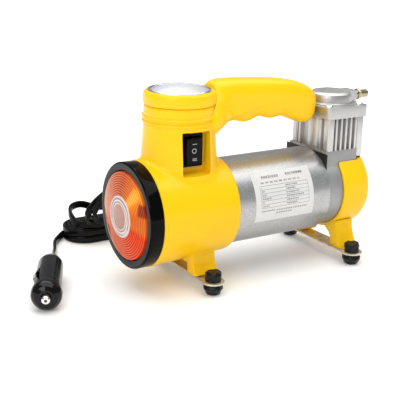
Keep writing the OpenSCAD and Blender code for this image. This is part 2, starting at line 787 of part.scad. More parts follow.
module cylinder_head() {
    color("silver") placed() difference() {
        union() {
            rounded_block(cylinder_x + 0.8, 0, block_top, head_top, head_half_x, head_half_y, 4.5);
            translate([cylinder_x + 0.8, 0, 0]) rotate_extrude($fn = ROUND) polygon([
                [0, head_top - 1], [16.4, head_top - 1], [16.4, head_top + 0.4],
                [15.6, head_top + 1.4], [15.6, head_top + 4.4], [14.8, dome_top - 1.6],
                [13.2, dome_top - 0.3], [12, dome_top], [0, dome_top]]);
            translate([cylinder_x + 8, -6, head_top - 1])
                cube([12.8, 12, dome_top - head_top + 0.4]);
        }
        upright(cylinder_x, 0, block_top - 1, block_top + 2.05, 16.05, ROUND);
        upright(cylinder_x, 0, block_top, dome_top - 2.5, 11, ROUND);
        bar_x(cylinder_x, 190, 2, 0, outlet_z);
        bar_x(140, 149.5, 2.45, 0, 109);
        bar_x(149, cylinder_x, 1.2, 0, 109);
        head_screw_holes();
    }
}

nipple_start = 186.8;

module outlet_nipple() {
    color("palegoldenrod") placed() difference() {
        union() {
            bar_x(182, nipple_start + 4.4, 2, 0, outlet_z);
            bar_x(nipple_start, nipple_start + 4.4, 3.2, 0, outlet_z);
            translate([nipple_start + 4.4, 0, outlet_z]) rotate([0, 90, 0])
                cylinder(h = 2.2, r = 4.5, $fn = 6);
            bar_x(nipple_start + 6.6, outlet_end - 0.6, outlet_r, 0, outlet_z);
            translate([outlet_end - 0.6, 0, outlet_z]) rotate([0, 90, 0])
                cylinder(h = 0.6, r1 = outlet_r, r2 = outlet_r - 0.6, $fn = ROUND);
        }
        bar_x(180, 203, 1.3, 0, outlet_z);
    }
}

// ---- Lead ----

module cord_gland() {
    color("black") placed() translate([24, 0, axis_z - 0.9]) rotate([-90, 0, 0]) difference() {
        rotate_extrude($fn = FINE) polygon([[0, 31.8], [4.5, 31.8], [4.5, 35.4], [6.4, 35.4],
            [6.4, 37], [4.8, 37.5], [4.4, 42], [3.7, 54.9], [0, 54.9]]);
        for (y = [39, 43, 47, 51]) for (side = [0, 180]) rotate([0, 0, side])
            translate([-6, 2.6, y]) cube([12, 4, 1.6]);
    }
}

module cord_lead() { color("black") placed() swept_lead(smooth_route(lead_route, 2)); }

module cord_tail() { color("black") placed() swept_lead(smooth_route(tail_route, 2)); }

module hank_outline(r) {
    for (x = [hank_start, hank_end]) translate([x, hank_y]) circle(r = r, $fn = FINE);
    translate([hank_start, hank_y - r]) square([hank_end - hank_start, 2 * r]);
}

module cord_coil() {
    color("black") placed() translate([0, 0, 0.02]) linear_extrude(hank_h) difference() {
        hank_outline(hank_outer_r);
        hank_outline(hank_inner_r);
    }
}

// ---- Plug ----

// The plug's own frame: its axis is Z, its nose is at 0 and its back is up the axis.
module plug_placed() {
    placed() translate(plug_nose) rotate([0, 0, plug_turn]) rotate([0, 90, 0]) children();
}

module plug_body() {
    color("black") plug_placed() difference() {
        rotate_extrude($fn = FINE) polygon([[7.6, plug_body_start], [8, plug_body_start],
            [plug_r, plug_body_start + 1], [plug_r, 40], [plug_r - 0.2, plug_body_end - 9],
            [plug_r - 1.6, plug_body_end - 3.5], [plug_r - 4, plug_body_end - 0.7],
            [2.6, plug_body_end], [0, plug_body_end], [0, 50], [3.4, 50], [3.4, 14.4],
            [7.6, 14.4]]);
        for (side = [-1, 1]) rotate([0, 0, contact_roll])
            translate([-2, side > 0 ? 5.4 : -11, contact_start - 1])
                cube([4, 5.6, contact_l + 2]);
    }
}

module plug_nose_ring() {
    color("black") plug_placed() difference() {
        rotate_extrude($fn = ROUND) polygon([[3.4, -0.6], [5.2, -0.6], [7.6, 0.6], [9.4, 2.6],
            [nose_r, 4.4], [nose_r, plug_ring_l], [9.3, plug_ring_l + 0.8], [7.55, plug_ring_l + 0.8],
            [7.55, 14], [3.45, 14], [3.45, 3], [3.3, 3]]);
        for (side = [-1, 1]) rotate([0, 0, contact_roll])
            translate([-2, side > 0 ? 5.4 : -11, contact_start - 1.4]) cube([4, 5.6, 5]);
    }
}

// The tip is sprung and slides along the plug's axis.
module plug_tip() {
    color("gainsboro") plug_placed() rotate_extrude($fn = FINE) polygon([[0, -5], [1.9, -4.8],
        [2.7, -3.8], [2.9, -2.6], [2.9, 6], [0, 6]]);
}

// Drawn at its pressed length, so that it clears the tip through its travel
module plug_tip_spring() {
    color("silver") plug_placed() difference() {
        translate([0, 0, 9]) cylinder(h = 5.4, r = 3, $fn = FINE);
        translate([0, 0, 8]) cylinder(h = 7, r = 2.2, $fn = FINE);
    }
}

module plug_fuse() {
    color("lightcyan") plug_placed() union() {
        translate([0, 0, 14.5]) cylinder(h = 30, r = 2.9, $fn = FINE);
        translate([0, 0, 14.5]) cylinder(h = 6, r = 3.1, $fn = FINE);
        translate([0, 0, 38.5]) cylinder(h = 6, r = 3.1, $fn = FINE);
    }
}

// A bowed strip that presses on the socket's wall
module plug_contact(side) {
    color("gainsboro") plug_placed() rotate([0, 0, contact_roll]) rotate([90, 0, 90])
        linear_extrude(3, center = true) polygon([for (p = [[7.2, contact_start], [8, contact_start], [10.8, 18], [11.3, 22],
            [10.8, 26], [8, 33], [7.2, 33], [7.2, 32.2], [9.9, 26], [10.4, 22], [9.9, 18],
            [7.2, 12.8]]) [side * p[0], p[1]]]);
}

module plug_contact_left() { plug_contact(1); }

module plug_contact_right() { plug_contact(-1); }

front_housing();
column_cap();
handle_left();
handle_right();
rear_cover();
housing_screws();
foot_strips();
rubber_feet();
lamp_ring();
lamp_lens();
lamp_lens_center();
lamp_reflector();
lamp_bulbs();
switch_body();
switch_rocker();
gauge_case();
gauge_bezel();
gauge_glass();
gauge_dial();
gauge_needle();
gauge_movement();
gauge_pipe();
motor_can();
field_magnets();
armature_core();
armature_windings();
commutator();
motor_shaft();
shaft_bearings();
brush_end_cap();
carbon_brushes();
rating_label();
motor_plate();
crankcase();
crank_disc();
crank_pin();
rod_bearing();
connecting_rod();
wrist_pin();
piston();
piston_seal();
cylinder_block();
head_gasket();
valve_plate();
outlet_reed();
cylinder_head();
head_screws();
outlet_nipple();
cord_gland();
cord_lead();
cord_coil();
cord_tail();
plug_body();
plug_nose_ring();
plug_tip();
plug_tip_spring();
plug_contact_left();
plug_contact_right();
plug_fuse();
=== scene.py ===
"""Portable tire inflator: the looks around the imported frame, one operator for each group of pieces."""

import json
import math

import bmesh
import bpy
from mathutils import Matrix, Vector, noise

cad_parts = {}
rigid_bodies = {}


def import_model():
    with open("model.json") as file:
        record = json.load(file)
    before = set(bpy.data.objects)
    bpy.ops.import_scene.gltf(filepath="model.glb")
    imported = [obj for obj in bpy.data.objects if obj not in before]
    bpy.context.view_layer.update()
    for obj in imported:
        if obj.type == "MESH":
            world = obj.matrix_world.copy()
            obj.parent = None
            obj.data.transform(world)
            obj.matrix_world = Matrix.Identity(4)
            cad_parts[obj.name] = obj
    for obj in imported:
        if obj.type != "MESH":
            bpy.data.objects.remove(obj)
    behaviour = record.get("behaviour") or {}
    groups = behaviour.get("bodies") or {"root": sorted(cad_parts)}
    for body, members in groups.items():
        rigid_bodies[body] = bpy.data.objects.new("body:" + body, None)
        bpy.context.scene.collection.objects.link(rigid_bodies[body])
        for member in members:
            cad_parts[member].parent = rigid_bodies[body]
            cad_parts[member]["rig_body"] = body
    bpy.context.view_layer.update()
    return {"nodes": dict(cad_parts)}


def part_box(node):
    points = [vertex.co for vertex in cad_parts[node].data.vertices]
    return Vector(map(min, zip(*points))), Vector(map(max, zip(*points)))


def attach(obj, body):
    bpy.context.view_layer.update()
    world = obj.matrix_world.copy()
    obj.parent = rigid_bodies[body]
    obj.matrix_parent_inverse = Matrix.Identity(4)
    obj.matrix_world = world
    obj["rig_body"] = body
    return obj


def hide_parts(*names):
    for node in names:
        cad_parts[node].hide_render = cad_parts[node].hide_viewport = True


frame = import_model()

bl_info = {
    "name": "Portable tire inflator",
    "version": (1, 0, 0),
    "blender": (4, 5, 0),
    "location": "View3D > Sidebar > Inflator",
    "description": "Models the shell, lamp, gauge, compressor, lead and studio of a tire inflator",
    "category": "Mesh",
}

MM = 0.001
# Lengths along X are told from the lamp ring's front face, as in the part's source.
MIDDLE = -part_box("lamp_ring")[0].x / MM
AXIS_Z = (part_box("motor_can")[0].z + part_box("motor_can")[1].z) / 2 / MM
COLUMN_X = (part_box("gauge_bezel")[0].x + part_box("gauge_bezel")[1].x) / 2 / MM + MIDDLE
# The lamp ring stands out a little further and wider than its CAD node.
RIM_AHEAD = 1.2
RIM_WIDER = 1.022
# Bead heights on the gauge column, and the dome of its glass, in mm
BEAD_Z = (111.7, 115.2)
GLASS_EDGE_Z = 131.9
GLASS_RISE = 5.2
FLOOR_SIZE = 60


def at(x, y, z):
    """A point told in millimetres from the lamp's face, in the row frame."""
    return Vector(((x - MIDDLE) * MM, y * MM, z * MM))


# ---- Sizes and colours ----


class InflatorSizes(bpy.types.PropertyGroup):
    edge: bpy.props.FloatProperty(
        name="Edge rounding", description="Radius of the moulded edges, in mm", default=0.8, min=0.2, max=1.5
    )
    lead_width: bpy.props.FloatProperty(
        name="Lead width",
        description="Width of the flat twin lead, in mm",
        default=5.5,
        min=5,
        max=5.8,
    )
    lead_pitch: bpy.props.FloatProperty(
        name="Turn pitch",
        description="Distance between neighbouring turns, in mm",
        default=3.1,
        min=3.0,
        max=3.4,
    )
    lens_rings: bpy.props.IntProperty(
        name="Lens rings", description="Rings moulded in the lamp's lens", default=10, min=6, max=14
    )
    voxel: bpy.props.FloatProperty(
        name="Shell fineness",
        description="Mesh size of the blended shell, in mm",
        default=0.9,
        min=0.7,
        max=2,
    )


def colour(name, text, value):
    return bpy.props.FloatVectorProperty(
        name=name, description=text, subtype="COLOR", size=4, min=0, max=1, default=value
    )


class InflatorColours(bpy.types.PropertyGroup):
    shell: colour("Shell", "Moulded shell and handle", (1.0, 0.585, 0.004, 1))
    lens: colour("Lens", "Lamp lens", (0.9, 0.085, 0.012, 1))
    can: colour("Motor can", "Silver of the motor can", (0.47, 0.475, 0.475, 1))
    casting: colour("Castings", "Aluminium castings", (0.62, 0.61, 0.60, 1))
    black: colour("Black parts", "Black mouldings and rubber", (0.004, 0.004, 0.0045, 1))
    floor: colour("Floor", "Studio floor", (0.92, 0.915, 0.90, 1))


def sizes():
    return bpy.context.scene.inflator_sizes


def colours():
    return bpy.context.scene.inflator_colours


# ---- Finishes ----


class Amount:
    """A number that changes over a surface, so that its shader maths reads as Python."""

    def __init__(self, finish, socket):
        self.finish = finish
        self.socket = socket

    def joined(self, operation, *others):
        values = {i: v for i, v in enumerate(others)}
        node = self.finish.node("ShaderNodeMath", {"operation": operation}, values)
        return Amount(self.finish, node.outputs[0])

    def __add__(self, other):
        return self.joined("ADD", self, other)

    def __sub__(self, other):
        return self.joined("SUBTRACT", self, other)

    def __rsub__(self, other):
        return self.joined("SUBTRACT", other, self)

    def __mul__(self, other):
        return self.joined("MULTIPLY", self, other)

    def __truediv__(self, other):
        return self.joined("DIVIDE", self, other)

    def __gt__(self, other):
        return self.joined("GREATER_THAN", self, other)

    def __lt__(self, other):
        return self.joined("LESS_THAN", self, other)

    def __mod__(self, other):
        return self.joined("FLOORED_MODULO", self, other)

    def __abs__(self):
        return self.joined("ABSOLUTE", self)

    __radd__ = __add__
    __rmul__ = __mul__

    def root(self):
        return self.joined("SQRT", self)

    def or_more(self, other):
        return self.joined("MAXIMUM", self, other)

    def or_less(self, other):
        return self.joined("MINIMUM", self, other)

    def angle_from(self, other):
        return self.joined("ARCTAN2", self, other)

    def ramp(self, low, high):
        """0 below low, 1 above high and smooth between."""
        node = self.finish.node(
            "ShaderNodeMapRange",
            {"interpolation_type": "SMOOTHSTEP", "clamp": True},
            {"Value": self, "From Min": low, "From Max": high, "To Min": 0.0, "To Max": 1.0},
        )
        return Amount(self.finish, node.outputs[0])

    def near(self, middle, half, soft=0.1):
        """1 within half of middle, falling to 0 over soft."""
        return 1 - abs(self - middle).ramp(half - soft / 2, half + soft / 2)


class Finish:
    """One procedural material, built up node by node."""

    def __init__(self, name):
        self.material = bpy.data.materials.new(name)
        self.material.use_nodes = True
        self.tree = self.material.node_tree
        self.tree.nodes.clear()
        place = self.node("ShaderNodeTexCoord")
        self.place = place.outputs["Object"]
        self.uv = place.outputs["UV"]

    def node(self, kind, settings=None, values=None):
        node = self.tree.nodes.new(kind)
        for key, value in (settings or {}).items():
            if key == "stops":
                elements = node.color_ramp.elements
                for position, tone in value[1:-1]:
                    elements.new(position).color = tone
                elements[0].color = value[0][1]
                elements[-1].color = value[-1][1]
            else:
                setattr(node, key, value)
        for key, value in (values or {}).items():
            if isinstance(value, Amount):
                value = value.socket
            if isinstance(value, bpy.types.NodeSocket):
                self.tree.links.new(value, node.inputs[key])
            elif value is not None:
                node.inputs[key].default_value = value
        return node

    def xyz(self):
        """Millimetres from the lamp's face, from the middle plane and from the floor."""
        split = self.node("ShaderNodeSeparateXYZ", None, {0: self.place})
        x, y, z = (Amount(self, s) for s in split.outputs)
        return x * 1000 + MIDDLE, y * 1000, z * 1000

    def noise(self, size_mm, detail=3.0, roughness=0.55, stretch=None):
        """Cloudy noise, about 0.5, with features of that size."""
        source = self.place
        if stretch:
            source = self.node("ShaderNodeMapping", None, {"Vector": source, "Scale": stretch}).outputs[0]
        node = self.node(
            "ShaderNodeTexNoise",
            None,
            {"Vector": source, "Scale": 1000.0 / size_mm, "Detail": detail, "Roughness": roughness},
        )
        return Amount(self, node.outputs["Fac"])

    def mixed(self, factor, a, b):
        node = self.node("ShaderNodeMix", {"data_type": "RGBA"}, {0: factor, 6: a, 7: b})
        return node.outputs[2]

    def bumped(self, height, distance_mm, strength=1.0):
        node = self.node(
            "ShaderNodeBump", None, {"Height": height, "Distance": distance_mm * MM, "Strength": strength}
        )
        return node.outputs[0]

    def surface(self, **values):
        """The shader at the end. A name with underscores is a socket's name with spaces."""
        named = {key.replace("_", " "): value for key, value in values.items()}
        shader = self.node("ShaderNodeBsdfPrincipled", None, named)
        self.node("ShaderNodeOutputMaterial", None, {0: shader.outputs[0]})
        return self.material


def shade(colour_value, factor):
    return tuple(min(1.0, c * factor) for c in tuple(colour_value)[:3]) + (1.0,)


def moulded(name, colour_value, roughness=0.25, coat=0.3, grain=0.012, blotch=0.05, shine=0.25):
    """Moulded plastic: a faint flow pattern, a fine skin and slightly duller patches."""
    f = Finish(name)
    clouds = f.noise(38, 2.0)
    fine = f.noise(1.1, 2.0)
    base = f.mixed(clouds.ramp(0.3, 0.7), shade(colour_value, 1 - blotch), shade(colour_value, 1 + blotch))
    rough = roughness + (f.noise(9, 3.0) - 0.5) * 0.12
    return f.surface(
        Base_Color=base,
        Roughness=rough,
        Specular_IOR_Level=shine,
        Coat_Weight=coat,
        Coat_Roughness=0.08,
        Normal=f.bumped(fine, grain, 0.6),
    )


def metal(name, colour_value, roughness=0.32, metallic=1.0, grain=0.02, size=0.9, stretch=None, spread=0.18):
    """Bare or coated metal with a fine grain and uneven gloss."""
    f = Finish(name)
    grainy = f.noise(size, 3.0, 0.6, stretch)
    clouds = f.noise(14, 3.0)
    base = f.mixed(clouds.ramp(0.25, 0.75), shade(colour_value, 0.9), shade(colour_value, 1.06))
    rough = roughness + (clouds - 0.5) * spread + (grainy - 0.5) * 0.1
    return f.surface(
        Base_Color=base, Metallic=metallic, Roughness=rough, Normal=f.bumped(grainy, grain, 0.7)
    )


def rubbery(name, colour_value, roughness=0.5, grain=0.05, size=0.8):
    f = Finish(name)
    grainy = f.noise(size, 4.0, 0.65)
    dusty = f.noise(6, 3.0)
    base = f.mixed(dusty.ramp(0.45, 0.8), shade(colour_value, 1.0), shade(colour_value, 1.9))
    return f.surface(
        Base_Color=base,
        Roughness=roughness + (dusty - 0.5) * 0.2,
        Specular_IOR_Level=0.3,
        Normal=f.bumped(grainy, grain, 0.8),
    )


def silver_can():
    """Silver paint over a rolled steel tube: a fine sparkle and a slightly pebbled skin."""
    f = Finish("silver_paint")
    sparkle = f.noise(0.75, 2.0, 0.7)
    pebble = f.noise(1.6, 3.0, 0.6)
    clouds = f.noise(22, 2.0)
    base = f.mixed(sparkle.ramp(0.3, 0.72), shade(colours().can, 0.78), shade(colours().can, 1.22))
    rough = 0.36 + (clouds - 0.5) * 0.1 + (sparkle - 0.5) * 0.16
    return f.surface(
        Base_Color=base, Metallic=0.82, Roughness=rough, Normal=f.bumped(pebble, 0.035, 0.8)
    )


def lens_finish():
    """Orange-red clear plastic with painted light and shade: its tone changes round the rings as painted
    light and shade, with a painted highlight, a pale painted reflection and dark painted shade; the rings
    stand out darker with painted shade at their steps, carry painted highlights, and the lens glows faintly.
    """
    f = Finish("orange_lens")
    x, y, z = f.xyz()
    up = z - AXIS_Z
    radius = (y * y + up * up).root()
    warm = f.noise(14, 2.0)
    streaks = f.noise(5, 2.0)
    turn = up.angle_from(y * -1) * (180 / math.pi) + 180
    # Degrees from the far side's level, by way of the bottom, and the painted light and shade there
    painted_light_tones = (
        (0, (0.72, 0.34, 0.24, 1)), (18, (0.7, 0.2, 0.13, 1)), (50, (0.66, 0.16, 0.09, 1)),
        (85, (0.74, 0.1, 0.045, 1)), (125, (0.78, 0.06, 0.014, 1)), (162, (0.76, 0.04, 0.006, 1)),
        (170, (0.72, 0.15, 0.008, 1)), (192, (0.72, 0.13, 0.008, 1)), (208, (0.86, 0.2, 0.008, 1)),
        (226, (0.98, 0.33, 0.014, 1)), (238, (0.72, 0.16, 0.012, 1)), (268, (0.5, 0.08, 0.02, 1)),
        (300, (0.58, 0.13, 0.06, 1)), (335, (0.72, 0.3, 0.2, 1)), (360, (0.72, 0.34, 0.24, 1)),
    )  # fmt: skip
    ramp = f.node(
        "ShaderNodeValToRGB",
        {"stops": [(angle / 360, tone) for angle, tone in painted_light_tones]},
        {"Fac": (turn + (streaks - 0.5) * 9) / 360},
    )
    base = ramp.outputs[0]
    # A painted highlight on the upper near side of the lens
    gleam = turn.near(227, 9, 10) * radius.near(21, 6.5, 5)
    base = f.mixed(gleam * 0.75, base, (1.0, 0.5, 0.06, 1))
    # A pale painted reflection on the far outer part of the lens
    pale = (y * 0.95 - up * 0.2).ramp(12, 30) * radius.ramp(19, 28.5)
    base = f.mixed(pale * 0.7, base, (0.82, 0.56, 0.48, 1))
    # Painted shade in two dark patches, high on the near side and low on the far side
    dark = (up - 10).near(0, 4.0, 2.6) * (y + 25.4).near(0, 3.8, 2.6) * warm.ramp(0.3, 0.46)
    lower = (up + 12.2 - (y - 21.5) * 1.0).near(0, 4.4, 2.6) * y.ramp(15.5, 18)
    painted_shade = (dark + lower * streaks.ramp(0.3, 0.45)).or_less(1.0)
    base = f.mixed(painted_shade * 0.9, base, (0.2, 0.006, 0.006, 1))
    # Painted shade along each ring's step, and a painted highlight across each ring
    step = (radius - 14.25) * (sizes().lens_rings / 15.35) % 1.0
    line = 1 - step.near(0.5, 0.33, 0.16)
    base = f.mixed(line * 0.5, base, (0.24, 0.014, 0.003, 1))
    band = step.near(0.36, 0.1, 0.2)
    base = f.mixed(band * 0.25, base, (1.0, 0.5, 0.2, 1))
    # The emission gives the lens a faint painted glow
    return f.surface(
        Base_Color=base,
        Roughness=0.2 + (warm - 0.5) * 0.08,
        Specular_IOR_Level=0.12,
        Emission_Color=base,
        Emission_Strength=0.16,
        Normal=f.bumped(1 - line, 0.3, 0.8),
    )


def lens_center_finish():
    """The clear middle round a tan lamp: painted highlights on its moulded rings, painted shade between them,
    a painted highlight low down and a faint painted glow.
    """
    f = Finish("clear_lens_center")
    x, y, z = f.xyz()
    up = z - AXIS_Z
    radius = (y * y + up * up).root()
    ripple = f.noise(3, 2.0)
    wobble = radius + (ripple - 0.5) * 0.7
    white = (0.74, 0.7, 0.68, 1)
    base = f.mixed(wobble.ramp(8.0, 8.6), (0.46, 0.25, 0.19, 1), (0.5, 0.33, 0.3, 1))
    # White rings of painted highlight, then two dark rings of painted shade
    for middle, half, strength in ((8.9, 0.4, 0.9), (10.9, 0.45, 0.95), (13.5, 0.55, 0.9)):
        base = f.mixed(wobble.near(middle, half, 0.3) * strength, base, white)
    for middle, half in ((9.8, 0.25), (12.0, 0.3)):
        base = f.mixed(wobble.near(middle, half, 0.3) * 0.5, base, (0.2, 0.13, 0.13, 1))
    # A painted highlight low down on the outer rings
    low = (up + 9).near(0, 3, 3) * radius.ramp(10.6, 11.2)
    base = f.mixed(low * 0.6, base, white)
    # The emission gives the middle a faint painted glow
    return f.surface(
        Base_Color=base,
        Roughness=0.14 + (ripple - 0.5) * 0.1,
        Specular_IOR_Level=0.2,
        Emission_Color=base,
        Emission_Strength=0.08,
        Normal=f.bumped((radius % 2.1).near(1.05, 0.5, 0.6), 0.2, 0.6),
    )


def rocker_finish():
    """Black rocker with its three pale symbols: a rule, a ring and two rules."""
    f = Finish("rocker_black")
    x, y, z = f.xyz()
    pivot = (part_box("switch_rocker")[0].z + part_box("switch_rocker")[1].z) / 2 / MM
    across = x - COLUMN_X
    ring = ((across * across + (z - pivot) * (z - pivot)).root()).near(1.45, 0.26, 0.14)
    top = across.near(0, 1.7, 0.14) * (z - pivot).near(4.6, 0.24, 0.14)
    low_a = across.near(0, 1.6, 0.14) * (z - pivot).near(-5.1, 0.24, 0.14)
    low_b = across.near(0, 1.6, 0.14) * (z - pivot).near(-6.1, 0.24, 0.14)
    ink = (ring + top + low_a + low_b).or_less(1.0) * (y < -19.0)
    grain = f.noise(0.6, 2.0)
    base = f.mixed(ink * 0.8, shade(colours().black, 1.2), (0.5, 0.52, 0.52, 1))
    return f.surface(
        Base_Color=base,
        Roughness=0.36 + (grain - 0.5) * 0.1,
        Specular_IOR_Level=0.1,
        Normal=f.bumped(grain, 0.02, 0.6),
    )


def label_finish():
    """Printed film on the can: grey bars, rules and a ruled table, with no letters."""
    f = Finish("label_print")
    x, y, z = f.xyz()
    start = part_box("rating_label")[0].x / MM + MIDDLE
    u = x - start
    turn = (z - AXIS_Z).angle_from(y * -1)
    v = (50 * math.pi / 180 - turn) * 30.45
    blur = f.noise(0.55, 1.0)
    ink = None

    def add(mask):
        nonlocal ink
        ink = mask if ink is None else ink.or_more(mask)

    def bars(v_middle, half, first, last, word, gap, dark):
        """A row of short grey bars, as words would stand."""
        pattern = ((u - first) % (word + gap)) < word
        broken = (blur.ramp(0.34, 0.5)) * dark
        add(v.near(v_middle, half, 0.16) * (u > first) * (u < last) * pattern * broken)

    bars(5.0, 0.95, 8.0, 22.3, 1.45, 0.35, 1.0)
    bars(4.6, 0.95, 28.5, 43.0, 1.45, 0.35, 1.0)
    bars(9.0, 0.6, 6.0, 39.0, 2.6, 1.3, 0.75)
    top, row, rows = 11.3, 2.55, 6
    for i in range(rows + 1):
        add(v.near(top + row * i, 0.13, 0.12) * (u > 4.6) * (u < 45.2) * 0.8)
    for edge in (4.6, 45.2):
        add(u.near(edge, 0.13, 0.12) * (v > top) * (v < top + row * rows) * 0.75)
    for i, (left, right) in enumerate(((12, 31), (14, 29), (15, 32), (19, 36), (13, 31), (17, 30))):
        middle = top + row * (i + 0.5)
        bars(middle, 0.55, 5.6, left - 6, 1.2, 0.3, 0.8)
        bars(middle, 0.55, 26.0, right + 5, 1.2, 0.3, 0.8)
    bars(top + row * rows + 2.1, 0.6, 4.8, 15.5, 1.2, 0.5, 0.75)
    bars(top + row * rows + 2.5, 0.55, 17.0, 43.5, 1.5, 0.5, 0.75)
    bars(top + row * rows + 4.6, 0.55, 17.0, 31.0, 1.5, 0.5, 0.75)
    paper = f.mixed(f.noise(12, 2.0), (0.68, 0.68, 0.665, 1), (0.75, 0.75, 0.74, 1))
    base = f.mixed(ink * 0.92, paper, (0.04, 0.04, 0.045, 1))
    return f.surface(Base_Color=base, Roughness=0.42 + (blur - 0.5) * 0.1, Coat_Weight=0.15)


def dial_finish():
    """A white dial with a scale of plain ticks, and a second ring of finer ones."""
    f = Finish("dial_print")
    x, y, z = f.xyz()
    across = x - COLUMN_X
    radius = (across * across + y * y).root()
    turn = y.angle_from(across) * (180 / math.pi) + 180
    swept = abs(turn - 180) < 135
    major = (turn % 27.0).near(13.5, 0.9, 0.5) * radius.near(14.8, 2.2, 0.2)
    minor = (turn % 5.4).near(2.7, 0.35, 0.3) * radius.near(15.9, 1.1, 0.2)
    arc = radius.near(17.1, 0.14, 0.14) + radius.near(11.0, 0.12, 0.14)
    ink = (major + minor + arc).or_less(1.0) * swept
    card = f.mixed(f.noise(9, 2.0), (0.78, 0.79, 0.8, 1), (0.86, 0.87, 0.88, 1))
    base = f.mixed(ink * 0.85, card, (0.03, 0.03, 0.035, 1))
    return f.surface(Base_Color=base, Roughness=0.35 + (f.noise(2, 2.0) - 0.5) * 0.1)


def clear_finish(name, tint, roughness=0.05, alpha=0.3):
    f = Finish(name)
    smear = f.noise(18, 2.0)
    return f.surface(
        Base_Color=f.mixed(smear, shade(tint, 0.97), shade(tint, 1.0)),
        Roughness=roughness + (smear - 0.5) * 0.05,
        Alpha=alpha + (smear - 0.5) * 0.06,
        Coat_Weight=0.6,
    )


def lead_finish():
    """Glossy black vinyl with faint scuffs along the lead."""
    f = Finish("lead_vinyl")
    scuff = f.noise(4, 3.0)
    fine = f.noise(0.5, 2.0)
    base = f.mixed(scuff.ramp(0.5, 0.8), shade(colours().black, 0.6), shade(colours().black, 1.6))
    return f.surface(
        Base_Color=base,
        Roughness=0.15 + (scuff - 0.4) * 0.14,
        Specular_IOR_Level=0.13,
        Normal=f.bumped(fine, 0.012, 0.5),
    )


def strip_finish():
    """Passivated steel strip: tan, with brighter patches here and there."""
    f = Finish("strip_zinc")
    x, y, z = f.xyz()
    edge = f.noise(5, 3.0)
    grain = f.noise(0.8, 2.0)
    base = f.mixed(edge.ramp(0.3, 0.7), (0.52, 0.46, 0.36, 1), (0.72, 0.68, 0.6, 1))
    return f.surface(
        Base_Color=base,
        Metallic=0.75,
        Roughness=0.3 + (edge - 0.5) * 0.15,
        Normal=f.bumped(grain, 0.015, 0.6),
    )


# ---- Modelling helpers ----


def clear_selection():
    if bpy.context.object and bpy.context.object.mode != "OBJECT":
        bpy.ops.object.mode_set(mode="OBJECT")
    bpy.ops.object.select_all(action="DESELECT")


def pick(piece):
    clear_selection()
    bpy.context.view_layer.objects.active = piece
    piece.select_set(True)
    return piece


def editing(piece, kind="VERT"):
    """Opens a piece in edit mode with nothing selected."""
    pick(piece)
    bpy.ops.object.mode_set(mode="EDIT")
    bpy.ops.mesh.select_mode(type=kind)
    bpy.ops.mesh.select_all(action="DESELECT")


def select(piece, test, kind="verts"):
    """Selects the vertices, edges or faces that pass the test, in edit mode."""
    data = bmesh.from_edit_mesh(piece.data)
    count = 0
    for item in getattr(data, kind):
        if test(item):
            item.select_set(True)
            count += 1
    data.select_flush_mode()
    bmesh.update_edit_mesh(piece.data)
    if not count:
        raise RuntimeError(f"{piece.name}: nothing to select")


def settled(piece):
    """Puts a piece's place into its mesh."""
    pick(piece)
    bpy.ops.object.transform_apply(location=True, rotation=True, scale=True)
    return piece


def named(piece, name):
    piece.name = name
    piece.data.name = name
    return piece


def applied(piece, kind, **settings):
    """Adds a modifier, sets it and applies it."""
    pick(piece)
    modifier = piece.modifiers.new(kind.lower(), kind)
    for key, value in settings.items():
        setattr(modifier, key, value)
    bpy.ops.object.modifier_apply(modifier=modifier.name)
    return piece


def smooth(piece, angle=35):
    pick(piece)
    bpy.ops.object.shade_smooth_by_angle(angle=math.radians(angle))
    return piece


def outlined(name, points):
    """One flat face with these corners, ready to be extruded."""
    mesh = bpy.data.meshes.new(name)
    mesh.from_pydata([tuple(p) for p in points], [], [tuple(range(len(points)))])
    piece = bpy.data.objects.new(name, mesh)
    bpy.context.collection.objects.link(piece)
    return pick(piece)


def turned(name, points, middle, axis, steps=128, closed=True):
    """Spins a profile of (radius, height) pairs, in mm, round an axis through middle."""
    up = Vector(axis).normalized()
    out = Vector((0, 0, 1)) if abs(up.z) < 0.5 else Vector((1, 0, 0))
    out = (out - up * out.dot(up)).normalized()
    corners = [middle + (out * r + up * h) * MM for r, h in points]
    edges = [(i, i + 1) for i in range(len(corners) - 1)]
    if closed:
        edges.append((len(corners) - 1, 0))
    mesh = bpy.data.meshes.new(name)
    mesh.from_pydata([tuple(c) for c in corners], edges, [])
    piece = bpy.data.objects.new(name, mesh)
    bpy.context.collection.objects.link(piece)
    editing(piece)
    bpy.ops.mesh.select_all(action="SELECT")
    bpy.ops.mesh.spin(steps=steps, angle=math.tau, center=tuple(middle), axis=tuple(up), dupli=False)
    bpy.ops.mesh.select_all(action="SELECT")
    bpy.ops.mesh.remove_doubles(threshold=1e-6)
    bpy.ops.mesh.normals_make_consistent(inside=False)
    bpy.ops.object.mode_set(mode="OBJECT")
    return piece


def rod(name, start, end, radius, steps=48):
    """A primitive cylinder between two points."""
    line = end - start
    clear_selection()
    bpy.ops.mesh.primitive_cylinder_add(
        vertices=steps, radius=radius * MM, depth=line.length, location=tuple((start + end) / 2)
    )
    piece = bpy.context.object
    piece.rotation_euler = line.to_track_quat("Z", "Y").to_euler()
    return named(settled(piece), name)


def block(name, low, high):
    """A primitive cube between two corners."""
    clear_selection()
    bpy.ops.mesh.primitive_cube_add(size=1, location=tuple((low + high) / 2))
    piece = bpy.context.object
    piece.scale = tuple(high - low)
    return named(settled(piece), name)


def joined(pieces, name):
    clear_selection()
    for piece in pieces:
        piece.select_set(True)
    bpy.context.view_layer.objects.active = pieces[0]
    bpy.ops.object.join()
    return named(bpy.context.object, name)


def cut(piece, tool, operation="DIFFERENCE"):
    """Cuts the tool out of a piece, or adds it, and removes the tool."""
    applied(piece, "BOOLEAN", object=tool, operation=operation, solver="EXACT")
    bpy.data.objects.remove(tool)
    return piece


